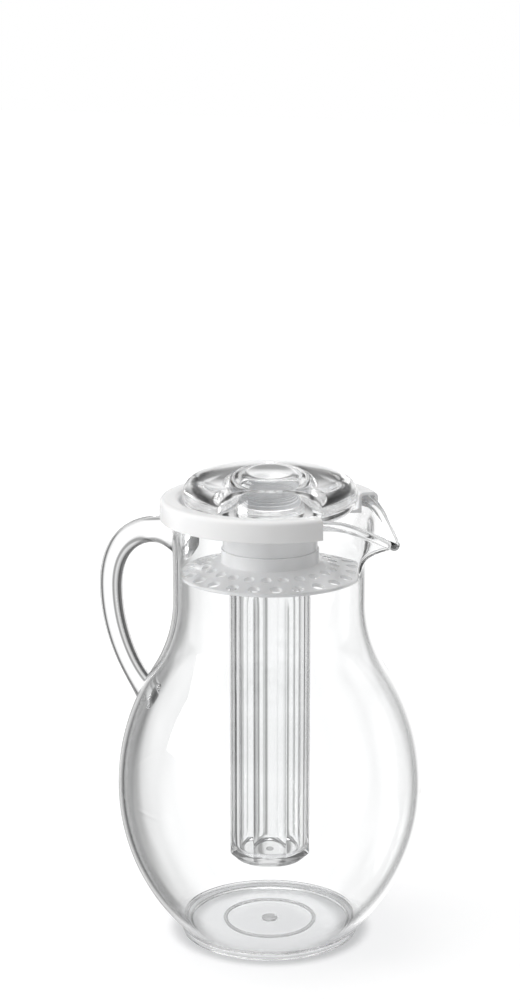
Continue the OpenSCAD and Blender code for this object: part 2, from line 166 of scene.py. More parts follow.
class HandleSizes(bpy.types.PropertyGroup):
    """Sizes of the handle"""

    drop: length("Upper pad drop", "Depth of the upper pad below the rim", 0.024)
    foot_z: length("Lower pad height", "Height of the lower pad's middle", 0.1195)
    mid_z: length("Widest height", "Height where the rod stands out furthest", 0.176)
    finger_gap: length("Finger gap", "Room between the neck and the rod", 0.038)
    top_r: length("Upper rod radius", "Radius of the rod at its upper end", 0.0072)
    foot_r: length("Lower rod radius", "Radius of the rod at its lower end", 0.0052)
    pad_top_r: length("Upper pad radius", "Radius of the upper pad", 0.0115)
    pad_foot_r: length("Lower pad radius", "Radius of the lower pad", 0.0078)
    pad_run: number("Pad run", "Share of the half rod over which a pad flares out", 0.42)
    sink: length("Sink", "Depth of the rod's line inside the jug at its ends", 0.003)
    run: length("Upper run", "Reach of the upper curve's first guide", 0.022)
    rise: length("Upper rise", "Rise of the upper curve's first guide", 0.011)
    bend: length("Upper bend", "Length of the upper curve's second guide", 0.028)
    fall: length("Lower fall", "Length of the lower curve's first guide", 0.022)
    landing: length("Landing", "Length of the lower curve's second guide", 0.013)
    bond: length("Bond", "Glue line between the pads and the jug", 0.00005)


class LidSizes(bpy.types.PropertyGroup):
    """Sizes of the lid"""

    wall: length("Wall", "Thickness of the lid's walls", 0.0016)
    channel_w: length("Channel", "Radial width of the channel over the rim", 0.007)
    dish_depth: length("Dish depth", "Depth of the dish below the lid's top", 0.009)
    skirt_h: length("Skirt height", "Height of the outer skirt", 0.0108)
    edge: length("Top rounding", "Rounding of the lid's top edges", 0.0026)
    hub_bore_r: length("Hub bore", "Radius of the hub's bore", 0.0212)
    hub_wall: length("Hub wall", "Thickness of the hub's wall", 0.00305)
    hub_h: length("Hub depth", "Depth of the hub below the dish", 0.0173)
    spigot_w: length("Spigot wall", "Thickness of the spigot in the strainer", 0.001525)
    flange_w: length("Hub flange", "Width of the floor that the notch leaves", 0.0034)
    notch_half: turn("Notch", "Half angle of the notch for the lip", 36.55)
    notch_fillet: length("Notch fillet", "Fillet where the notch meets the hub's floor", 0.005)
    broken_edge: length("Edge break", "Rounding of the notch's edges", 0.0003)


class StrainerSizes(bpy.types.PropertyGroup):
    """Sizes of the strainer"""

    collar_r: length("Collar radius", "Outer radius of the collar", 0.0251)
    collar_h: length("Collar height", "Height of the collar", 0.0069)
    recess_r: length("Recess radius", "Radius of the recess for the spigot", 0.022825)
    recess_h: length("Recess depth", "Depth of that recess", 0.0051)
    bore_r: length("Bore", "Radius of the bore above the socket", 0.0212)
    socket_r: length("Socket radius", "Radius of the socket for the tube's neck", 0.0203)
    socket_wall: length("Socket wall", "Thickness of the socket's wall", 0.0028)
    socket_top: length("Socket stop", "Height of the step that stops the tube", 0.1986)
    flange_t: length("Flange", "Thickness of the flange", 0.0018)
    slope: turn("Flange slope", "Slope of the flange, down from the collar", 15)
    holes: IntProperty(name="Holes", description="Holes in each row", default=24)
    outer_hole_r: length("Outer hole", "Radius of the outer row's holes", 0.003)
    inner_hole_r: length("Inner hole", "Radius of the inner row's holes", 0.0026)
    outer_row_r: length("Outer row", "Radius of the outer row", 0.042)
    inner_row_r: length("Inner row", "Radius of the inner row", 0.0328)


class TubeSizes(bpy.types.PropertyGroup):
    """Sizes of the ice tube"""

    flats: IntProperty(name="Flats", description="Number of flats", default=8)
    flat_r: length("Flat distance", "Distance of a flat from the axis", 0.0206)
    corner_round: length("Corner rounding", "Rounding between two flats", 0.0009)
    turned: turn("Turn", "Way that one of the flats faces", 26)
    collar_r: length("Shoulder radius", "Radius of the shoulder under the neck", 0.020)
    neck_r: length("Neck radius", "Radius of the neck under its thread", 0.0192)
    neck_h: length("Neck height", "Length of the neck", 0.0085)
    bore_r: length("Bore", "Radius of the bore", 0.0173)
    floor_t: length("Floor", "Thickness of the floor", 0.004)
    shoulder_h: length("Shoulder", "Height of the trimmed corners", 0.0038)
    bevel: length("Bevel", "Bevel round the bottom", 0.0022)
    hollow_r: length("Hollow radius", "Radius of the hollow under the floor", 0.0142)
    hollow: length("Hollow depth", "Depth of that hollow", 0.0008)
    gate_r: length("Gate radius", "Radius of the gate mark under the floor", 0.0026)


class KnobSizes(bpy.types.PropertyGroup):
    """Sizes of the knob"""

    edge_r: length("Edge rounding", "Radius of the round edge", 0.010)
    dome: length("Dome", "Rise of the dome above the round edge", 0.0064)
    dome_over: length("Dome reach", "How far the dome reaches over the edge's crown", 0.0014)
    stem_r: length("Stem radius", "Radius of the stem under its thread", 0.0201)
    stem_h: length("Stem length", "Length of the stem", 0.0266)
    stem_wall: length("Stem wall", "Thickness of the stem's wall", 0.0024)
    bore_rise: length("Bore rise", "Height of the bore above the knob's underside", 0.0115)
    bore_round: length("Bore rounding", "Rounding of the bore's end", 0.008)
    bevel: length("Stem bevel", "Bevel at the stem's lower end", 0.0012)


class ThreadSizes(bpy.types.PropertyGroup):
    """Sizes of the threads"""

    stem_pitch: length("Stem pitch", "Pitch of the knob's thread", 0.0029)
    stem_run: length("Stem thread", "Length of the knob's thread", 0.0148)
    tube_pitch: length("Tube pitch", "Pitch of the tube's thread", 0.0042)
    tube_run: length("Tube thread", "Length of the tube's thread", 0.0068)
    ridge: length("Ridge", "Height of the ridges", 0.00075)
    fade: length("Fade", "Length over which a thread fades in and out", 0.0012)


class Finishes(bpy.types.PropertyGroup):
    """Colours and surfaces of the acrylic and the white plastic"""

    acrylic: colour("Acrylic", "Tint of the clear acrylic", (0.994, 0.997, 0.998, 1.0))
    acrylic_ior: number("Acrylic IOR", "Refraction of the clear acrylic", 1.49)
    acrylic_wave: length("Acrylic waviness", "Height of the moulding's slow waves", 0.00003)
    # The dull tint and the marks' strength darken the moulding marks under the bases: painted
    # shade, not a colour of the acrylic.
    acrylic_shade_tint: colour("Dull acrylic", "Tint of the moulding marks", (0.2, 0.2, 0.2, 1.0))
    tube_depth: colour("Tube depth", "Tint of light along the tube's wall", (0.0, 0.0, 0.0, 1.0))
    tube_density: number("Tube density", "Light lost along a metre of the tube's wall", 6.0)
    mark: number("Marks", "Strength of the moulding marks under the base", 0.9)
    veil: colour(
        "Lamp veil", "Share of lamp light that a clear face lets by", (0.915, 0.917, 0.921, 1.0)
    )
    haze: colour(
        "Room veil", "Share of room light that a clear face lets by", (0.96, 0.962, 0.966, 1.0)
    )
    white: colour("White plastic", "Colour of lid and strainer", (0.86, 0.86, 0.86, 1.0))
    white_rough: number("White roughness", "Roughness of lid and strainer", 0.24)


class StageSizes(bpy.types.PropertyGroup):
    """Camera, floor and light"""

    lens: number("Lens", "Focal length of the camera in millimetres", 82.72)
    camera: FloatVectorProperty(
        name="Camera",
        description="Place of the camera",
        default=(0.5006, -1.0264, 0.497),
        size=3,
        unit="LENGTH",
        subtype="XYZ",
        precision=4,
    )
    pitch: turn("Pitch", "Tilt of the camera from straight down", 76.95)
    yaw: turn("Yaw", "Turn of the camera about the vertical", 26.26)
    floor_size: length("Floor size", "Half side of the floor", 6.0)
    floor_tone: number("Floor tone", "Share of the light that the floor throws back", 0.75)
    floor_near: number("Floor glow", "Glow of the floor near the pitcher", 0.4)
    floor_far: number("Far floor glow", "Glow of the floor far from the pitcher", 0.72)
    # Share of the floor's glow left under the foot ring: a painted contact shadow.
    painted_contact_shadow: number("Contact", "Share of the glow left under the foot ring", 0.15)
    fill: number("Fill", "Brightness of the room", 0.45)
    through: number("Through", "Brightness of the room seen through the clear pieces", 1.12)


def box_level(node, corner):
    """Lowest (0) or highest (1) level of a node's solid."""
    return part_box(node)[corner][2]


def softened(corners, steps=4, closed=False):
    """Outline through (r, z, rounding) corners, each rounded by an arc."""
    made = []
    count = len(corners)
    for i, (r, z, rounding) in enumerate(corners):
        here = np.array([r, z])
        if rounding <= 0 or (not closed and i in (0, count - 1)):
            made.append(here)
            continue
        back = np.array(corners[i - 1][:2]) - here
        ahead = np.array(corners[(i + 1) % count][:2]) - here
        back_l, ahead_l = np.linalg.norm(back), np.linalg.norm(ahead)
        back, ahead = back / back_l, ahead / ahead_l
        half = math.acos(max(-1.0, min(1.0, float(back @ ahead)))) / 2
        reach = min(rounding / math.tan(half), 0.49 * back_l, 0.49 * ahead_l)
        radius = reach * math.tan(half)
        mid = here + (back + ahead) / np.linalg.norm(back + ahead) * radius / math.sin(half)
        first, last = here + back * reach - mid, here + ahead * reach - mid
        sweep = math.pi - 2 * half
        for k in range(steps + 1):
            t = k / steps
            made.append(
                mid
                + (first * math.sin((1 - t) * sweep) + last * math.sin(t * sweep))
                / math.sin(sweep)
            )
    return np.array(made)


def stretched(outline, longest):
    """The outline with its long straights cut up, so that no step is longer than longest."""
    made = [outline[0]]
    for a, b in zip(outline[:-1], outline[1:]):
        n = max(1, math.ceil(np.linalg.norm(b - a) / longest))
        made += [a + (b - a) * k / n for k in range(1, n + 1)]
    return np.array(made)


def fine_wall(outline, radius, count):
    """The outline with its long straights cut up, and fine steps up the wall at one radius."""
    upright = [
        abs(a[1] - b[1]) if max(abs(a[0] - radius), abs(b[0] - radius)) < 1e-7 else 0.0
        for a, b in zip(outline[:-1], outline[1:])
    ]
    at = int(np.argmax(upright))
    wall = np.linspace(outline[at], outline[at + 1], count + 1)[1:-1]
    return np.concatenate(
        [stretched(outline[: at + 1], STEP_MID), wall, stretched(outline[at + 1 :], STEP_MID)]
    )


def revolved(outline, angles):
    """Rows of points: an (r, z) outline turned through the angles."""
    r, z = outline[:, :1], outline[:, 1:2]
    return np.stack([r * np.cos(angles), r * np.sin(angles), z + 0 * angles], axis=-1)


def even_angles(count):
    """Angles spread evenly round the axis."""
    return np.arange(count) * 2 * math.pi / count


def skin(name, rows, loop=False):
    """Closed mesh over rows of points round the axis. A row on the axis becomes a pole,
    and in a loop the last row joins the first."""
    count, size = rows.shape[:2]
    points, first = [], []
    for row in rows:
        first.append(len(points))
        pole = not loop and np.ptp(row[:, :2], axis=0).max() < 1e-9
        points += [row[0]] if pole else list(row)
    first.append(len(points))
    faces = []
    for i in range(count if loop else count - 1):
        k = (i + 1) % count
        low, high = first[i], first[k]
        low_pole, high_pole = first[i + 1] - low == 1, first[k + 1] - high == 1
        for j in range(size):
            n = (j + 1) % size
            if low_pole:
                faces.append((low, high + n, high + j))
            elif high_pole:
                faces.append((low + j, low + n, high))
            else:
                faces.append((low + j, low + n, high + n, high + j))
    return mesh_piece(name, np.array(points), faces)


def mesh_piece(name, points, faces):
    """Smooth object from points and faces, turned outwards."""
    volume = 0.0
    for f in faces:
        for k in range(1, len(f) - 1):
            a, b, c = points[f[0]], points[f[k]], points[f[k + 1]]
            volume += float(np.dot(a, np.cross(b, c)))
    if volume < 0:
        faces = [tuple(reversed(f)) for f in faces]
    mesh = bpy.data.meshes.new(name)
    mesh.from_pydata([tuple(p) for p in points], [], faces)
    if mesh.validate():
        raise RuntimeError(name + " has faces that can't be used")
    mesh.shade_smooth()
    piece = bpy.data.objects.new(name, mesh)
    bpy.context.scene.collection.objects.link(piece)
    return piece


def plain(piece, sharp=None):
    """Turns a piece's modifiers into a plain mesh, with edges over an angle left sharp."""
    bpy.context.view_layer.update()
    graph = bpy.context.evaluated_depsgraph_get()
    mesh = bpy.data.meshes.new_from_object(piece.evaluated_get(graph), depsgraph=graph)
    piece.modifiers.clear()
    old = piece.data
    piece.data = mesh
    mesh.name = piece.name
    bpy.data.meshes.remove(old)
    mesh.shade_smooth()
    if sharp is not None:
        mesh.set_sharp_from_angle(angle=sharp)
    if not mesh.polygons:
        raise RuntimeError(piece.name + " came out empty")


class Tree:
    """A Geometry Nodes tree with named inputs."""

    def __init__(self, name, inputs):
        self.tree = bpy.data.node_groups.new(name, "GeometryNodeTree")
        sockets = self.tree.interface
        sockets.new_socket("Geometry", in_out="INPUT", socket_type="NodeSocketGeometry")
        self.identifiers = {}
        for label, kind, default in inputs:
            socket = sockets.new_socket(label, in_out="INPUT", socket_type="NodeSocket" + kind)
            if default is not None:
                socket.default_value = default
            self.identifiers[label] = socket.identifier
        sockets.new_socket("Geometry", in_out="OUTPUT", socket_type="NodeSocketGeometry")
        self.given = self.tree.nodes.new("NodeGroupInput").outputs
        self.result = self.tree.nodes.new("NodeGroupOutput").inputs[0]

    def node(self, kind, *sources, **settings):
        """Adds a node, sets its properties and feeds its inputs in order."""
        made = self.tree.nodes.new(kind)
        for key, value in settings.items():
            setattr(made, key, value)
        for socket, source in zip(made.inputs, sources):
            self.feed(socket, source)
        return made

    def feed(self, socket, source):
        """Links a socket or sets its value."""
        if isinstance(source, bpy.types.NodeSocket):
            self.tree.links.new(source, socket)
        else:
            socket.default_value = source

    def math(self, operation, *sources):
        """A math node's result."""
        return self.node("ShaderNodeMath", *sources, operation=operation).outputs[0]

    def ramp(self, value, low, high):
        """A smooth step from 0 to 1 between two values."""
        made = self.node("ShaderNodeMapRange", value, low, high, 0.0, 1.0)
        made.interpolation_type = "SMOOTHSTEP"
        return made.outputs[0]

    def finish(self, geometry):
        """Ends the tree with real meshes and their material."""
        real = self.node("GeometryNodeRealizeInstances", geometry).outputs[0]
        coat = self.node("GeometryNodeSetMaterial", real)
        self.feed(coat.inputs["Material"], self.given["Material"])
        self.tree.links.new(coat.outputs[0], self.result)
        return self

    def put_on(self, piece, **values):
        """Adds the tree to a piece as a modifier with these values."""
        modifier = piece.modifiers.new(self.tree.name, "NODES")
        modifier.node_group = self.tree
        for label, value in values.items():
            modifier[self.identifiers[label.replace("_", " ")]] = value


def thread_tree():
    """Raises a helical ridge out of a round wall about Z."""
    t = Tree(
        "Helical thread",
        [
            ("Root radius", "Float", 0.02),
            ("Band", "Float", 0.0002),
            ("Ridge", "Float", 0.0007),
            ("Pitch", "Float", 0.003),
            ("Shift", "Float", 0.0),
            ("Low end", "Float", 0.0),
            ("High end", "Float", 0.01),
            ("Fade", "Float", 0.001),
            ("Material", "Material", None),
        ],
    )
    given = t.given
    place = t.node("GeometryNodeInputPosition").outputs[0]
    x, y, z = t.node("ShaderNodeSeparateXYZ", place).outputs
    flat = t.node("ShaderNodeCombineXYZ", x, y).outputs[0]
    out = t.node("ShaderNodeVectorMath", flat, operation="NORMALIZE").outputs[0]
    r = t.node("ShaderNodeVectorMath", flat, operation="LENGTH").outputs["Value"]
    off = t.math("ABSOLUTE", t.math("SUBTRACT", r, given["Root radius"]))
    on_wall = t.math("LESS_THAN", off, given["Band"])
    turns = t.math("DIVIDE", t.math("ARCTAN2", y, x), 2 * math.pi)
    climbed = t.math("ADD", t.math("DIVIDE", z, given["Pitch"]), given["Shift"])
    phase = t.math("FRACT", t.math("SUBTRACT", climbed, turns))
    peak = t.math("SUBTRACT", 1.0, t.math("ABSOLUTE", t.math("MULTIPLY_ADD", phase, 2.0, -1.0)))
    ridge = t.ramp(peak, 0.3, 0.85)
    low_fade = t.ramp(z, given["Low end"], t.math("ADD", given["Low end"], given["Fade"]))
    high_fade = t.ramp(
        z, given["High end"], t.math("SUBTRACT", given["High end"], given["Fade"])
    )
    height = t.math("MULTIPLY", t.math("MULTIPLY", ridge, low_fade), high_fade)
    height = t.math("MULTIPLY", height, given["Ridge"])
    step = t.node("ShaderNodeVectorMath", out, operation="SCALE")
    t.feed(step.inputs["Scale"], height)
    moved = t.node("GeometryNodeSetPosition", given["Geometry"], on_wall)
    t.feed(moved.inputs["Offset"], step.outputs[0])
    return t.finish(moved.outputs[0])


def threaded(piece, finish, radius, ridge, pitch, low, high, shift=0.0):
    """Raises (or sinks) a thread on a piece's wall at a radius, between two levels."""
    thread_tree().put_on(
        piece,
        Root_radius=radius,
        Band=THREAD_BAND,
        Ridge=ridge,
        Pitch=pitch,
        Shift=shift,
        Low_end=low,
        High_end=high,
        Fade=bpy.context.scene.pitcher_thread.fade,
        Material=finish_named(finish),
    )


def perforation_tree():
    """Cuts two staggered rings of round holes through a flange about Z."""
    t = Tree(
        "Perforated rings",
        [
            ("Holes", "Int", 24),
            ("Outer row", "Float", 0.042),
            ("Outer hole", "Float", 0.003),
            ("Inner row", "Float", 0.033),
            ("Inner hole", "Float", 0.0026),
            ("Level", "Float", 0.2),
            ("Depth", "Float", 0.02),
            ("Material", "Material", None),
        ],
    )
    given = t.given
    rings = t.node("GeometryNodeJoinGeometry")
    for row, hole, share in (("Outer row", "Outer hole", 0.0), ("Inner row", "Inner hole", 0.5)):
        ring = t.node("GeometryNodeMeshCircle", given["Holes"], given[row]).outputs[0]
        pin = t.node("GeometryNodeMeshCylinder", 40, 1, 1, given[hole], given["Depth"])
        pins = t.node("GeometryNodeInstanceOnPoints", ring)
        t.feed(pins.inputs["Instance"], pin.outputs["Mesh"])
        step = t.math("DIVIDE", share * 2 * math.pi, given["Holes"])
        spun = t.node("GeometryNodeTransform", pins.outputs[0])
        lift = t.node("ShaderNodeCombineXYZ", 0.0, 0.0, given["Level"]).outputs[0]
        swing = t.node("ShaderNodeCombineXYZ", 0.0, 0.0, step).outputs[0]
        t.feed(spun.inputs["Translation"], lift)
        t.feed(spun.inputs["Rotation"], swing)
        t.tree.links.new(spun.outputs[0], rings.inputs[0])
    pins = t.node("GeometryNodeRealizeInstances", rings.outputs[0]).outputs[0]
    cut = t.node("GeometryNodeMeshBoolean", given["Geometry"], pins, operation="DIFFERENCE")
    return t.finish(cut.outputs[0])


class Shading:
    """A shader tree of a material or of the world, made step by step."""

    def __init__(self, owner, place, end):
        owner.use_nodes = True
        self.owner = owner
        self.tree = owner.node_tree
        self.tree.nodes.clear()
        self.output = self.tree.nodes.new(end)
        self.place = self.tree.nodes.new("ShaderNodeTexCoord").outputs[place]

    def node(self, kind, feeds=None, **settings):
        """Adds a node with properties and inputs, by name."""
        made = self.tree.nodes.new(kind)
        for key, value in settings.items():
            setattr(made, key, value)
        for key, value in (feeds or {}).items():
            if isinstance(value, bpy.types.NodeSocket):
                self.tree.links.new(value, made.inputs[key])
            else:
                made.inputs[key].default_value = value
        return made

    def math(self, operation, *sources):
        """A math node's result."""
        return self.node("ShaderNodeMath", dict(enumerate(sources)), operation=operation).outputs[0]

    def ramp(self, value, low, high, first=0.0, last=1.0):
        """A smooth step between two values."""
        feeds = {"Value": value, "From Min": low, "From Max": high, "To Min": first, "To Max": last}
        made = self.node("ShaderNodeMapRange", feeds, interpolation_type="SMOOTHSTEP")
        return made.outputs[0]

    def blend(self, share, first, last):
        """A mix of two shaders."""
        return self.node("ShaderNodeMixShader", {0: share, 1: first, 2: last}).outputs[0]

    def tone(self, share, first, last):
        """A mix of two colours."""
        made = self.node("ShaderNodeMix", {0: share}, data_type="RGBA")
        made.inputs[6].default_value = first
        made.inputs[7].default_value = last
        return made.outputs[2]

    def glow(self, kind, strength):
        """White light from a surface or from the world."""
        return self.node(kind, {"Color": (1, 1, 1, 1), "Strength": strength}).outputs[0]

    def steps(self, value, stops):
        """A grey level that runs through (position, level) stops."""
        made = self.node("ShaderNodeValToRGB", {0: value})
        points = made.color_ramp.elements
        while len(points) < len(stops):
            points.new(0.5)
        for point, (position, level) in zip(points, stops):
            point.position = position
            point.color = (level, level, level, 1.0)
        return made.outputs[0]

    def studio(self, way, size):
        """Light of the room by direction: a white window ahead with dark flags beside it, a pale
        surround with soft flags, a dark band above the horizon and white overhead."""
        _, _, up = self.node("ShaderNodeSeparateXYZ", {0: way}).outputs
        along = []
        for turned in (size.yaw, size.yaw + math.pi / 2):
            axis = (math.cos(turned), math.sin(turned), 0.0)
            dot = self.node("ShaderNodeVectorMath", {0: way, 1: axis}, operation="DOT_PRODUCT")
            along.append(dot.outputs["Value"])
        angle = self.math("MULTIPLY_ADD", self.math("ARCTAN2", *along), 0.5 / math.pi, 0.5)
        window = self.steps(angle, [(0.5 + d / 360, level) for d, level in WINDOW])
        height = self.math("MULTIPLY_ADD", up, 0.5, 0.5)
        reach, bands = (
            self.steps(height, [(0.5 + 0.5 * math.sin(math.radians(e)), v) for e, v in levels])
            for levels in (REACH, BANDS)
        )
        dimmed = self.math("SUBTRACT", window, 1.0)
        cards = self.math("MULTIPLY_ADD", reach, dimmed, 1.0)
        return self.math("MULTIPLY", self.math("MULTIPLY", cards, bands), size.through)

    def noise(self, scale, detail=2.0, stretch=(1.0, 1.0, 1.0)):
        """A noise value on the piece's own coordinates."""
        mapped = self.node("ShaderNodeMapping", {"Vector": self.place, "Scale": stretch})
        return self.node(
            "ShaderNodeTexNoise",
            {"Vector": mapped.outputs[0], "Scale": scale, "Detail": detail},
        ).outputs[0]

    def between(self, value, low, high):
        """A value spread between two limits."""
        return self.node(
            "ShaderNodeMapRange",
            {"Value": value, "From Min": 0.3, "From Max": 0.7, "To Min": low, "To Max": high},
        ).outputs[0]

    def bump(self, height, distance):
        """A bump of a real height."""
        feeds = {"Height": height, "Distance": distance, "Strength": 1.0}
        return self.node("ShaderNodeBump", feeds).outputs[0]

    def about_axis(self):
        """Distance from the upright axis, and height."""
        x, y, z = self.node("ShaderNodeSeparateXYZ", {0: self.place}).outputs
        flat = self.node("ShaderNodeCombineXYZ", {0: x, 1: y}).outputs[0]
        away = self.node("ShaderNodeVectorMath", {0: flat}, operation="LENGTH")
        return away.outputs["Value"], z

    def shade(self, shader):
        """Ends the material in this shader."""
        self.tree.links.new(shader, self.output.inputs["Surface"])
        return self.owner


def paint(name):
    """The shader tree of a new material."""
    made = bpy.data.materials.new(name)
    return Shading(made, "Object", "ShaderNodeOutputMaterial")


def base_marks_painted_shade(p, strength):
    """Where the ring and the gate mark lie under the jug's floor, as a mask of painted shade that
    darkens the clear acrylic there.
    """
    jug = bpy.context.scene.pitcher_jug
    away, z = p.about_axis()
    beside = p.math("ABSOLUTE", p.math("SUBTRACT", away, jug.ring_r))
    ring = p.ramp(beside, 0.7 * jug.ring_w, 1.2 * jug.ring_w, strength, 0.0)
    gate = p.ramp(away, jug.gate_r, jug.gate_r + 0.0005, strength, 0.0)
    under = p.ramp(z, jug.foot_hollow + 0.0004, jug.foot_hollow + 0.001, 1.0, 0.0)
    return p.math("MULTIPLY", p.math("MAXIMUM", ring, gate), under)


def tube_gate_painted_shade(p, strength):
    """Where the gate mark lies under the tube's floor, as a mask of painted shade that darkens the
    clear acrylic there.
    """
    tube = bpy.context.scene.pitcher_tube
    away, z = p.about_axis()
    level = box_level("ice_tube", 0) + tube.hollow
    gate = p.ramp(away, tube.gate_r, tube.gate_r + 0.0012, strength, 0.0)
    return p.math("MULTIPLY", gate, p.ramp(z, level + 0.0006, level + 0.0012, 1.0, 0.0))


def acrylic(name, look, marks):
    """Polished clear acrylic: slow moulding waves, fine wipe marks, and moulding marks under the
    bases darkened with a painted shade tint.
    """
    p = paint(name)
    waves = p.noise(38.0, 1.0)
    wipes = p.noise(900.0, 2.0, (1.0, 1.0, 0.06))
    body = p.node(
        "ShaderNodeBsdfPrincipled",
        {
            # The grey tint on the marks under the bases is painted shade.
            "Base Color": p.tone(marks(p, look.mark), look.acrylic, look.acrylic_shade_tint),
            "IOR": look.acrylic_ior,
            "Transmission Weight": 1.0,
            "Roughness": p.between(wipes, 0.0, 0.02),
            "Normal": p.bump(waves, look.acrylic_wave),
        },
    ).outputs[0]
    veil = p.node("ShaderNodeBsdfTransparent", {"Color": look.veil}).outputs[0]
    haze = p.node("ShaderNodeBsdfTransparent", {"Color": look.haze}).outputs[0]
    path = p.node("ShaderNodeLightPath").outputs
    lit = p.blend(path["Is Diffuse Ray"], body, haze)
    p.shade(p.blend(path["Is Shadow Ray"], lit, veil))
    return p


def clear_acrylic(look):
    """The acrylic of jug, handle and knob."""
    return acrylic("clear_acrylic_look", look, base_marks_painted_shade).owner


def tube_acrylic(look):
    """The tube's acrylic, which takes a little of the light that runs along its thick wall."""
    # Its gate mark is darkened by the same painted shade tint as the jug's base marks.
    p = acrylic("tube_acrylic_look", look, tube_gate_painted_shade)
    feeds = {"Color": look.tube_depth, "Density": look.tube_density}
    depth = p.node("ShaderNodeVolumeAbsorption", feeds).outputs[0]
    p.tree.links.new(depth, p.output.inputs["Volume"])
    return p.owner


def white_plastic(look):
    """Gloss white moulding: faint mottling, soft sheen and a fine moulded skin."""
    p = paint("white_plastic_look")
    mottle = p.noise(24.0, 2.0)
    grain = p.noise(1400.0, 2.0)
    paler = [min(1.0, 1.014 * c) for c in look.white[:3]] + [1.0]
    body = p.node(
        "ShaderNodeBsdfPrincipled",
        {
            "Base Color": p.tone(mottle, look.white, paler),
            "Roughness": p.between(mottle, look.white_rough - 0.015, look.white_rough + 0.015),
            "IOR": 1.5,
            "Subsurface Weight": 0.12,
            "Subsurface Radius": (0.0012, 0.0011, 0.001),
            "Subsurface Scale": 1.0,
            "Normal": p.bump(grain, 0.000012),
        },
    )
    return p.shade(body.outputs[0])


def finish_named(name):
    """A finish that is made once and then shared by the pieces."""
    makers = {
        "clear_acrylic": clear_acrylic,
        "tube_acrylic": tube_acrylic,
        "white_plastic": white_plastic,
    }
    found = bpy.data.materials.get(name + "_look")
    return found or makers[name](bpy.context.scene.pitcher_finish)


def settle(piece, body, nodes, finish):
    """Gives a finished piece its material, body and the solids that it stands for."""
    material = finish_named(finish)
    piece.data.materials.clear()
    piece.data.materials.append(material)
    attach(piece, body)
    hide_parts(*nodes)


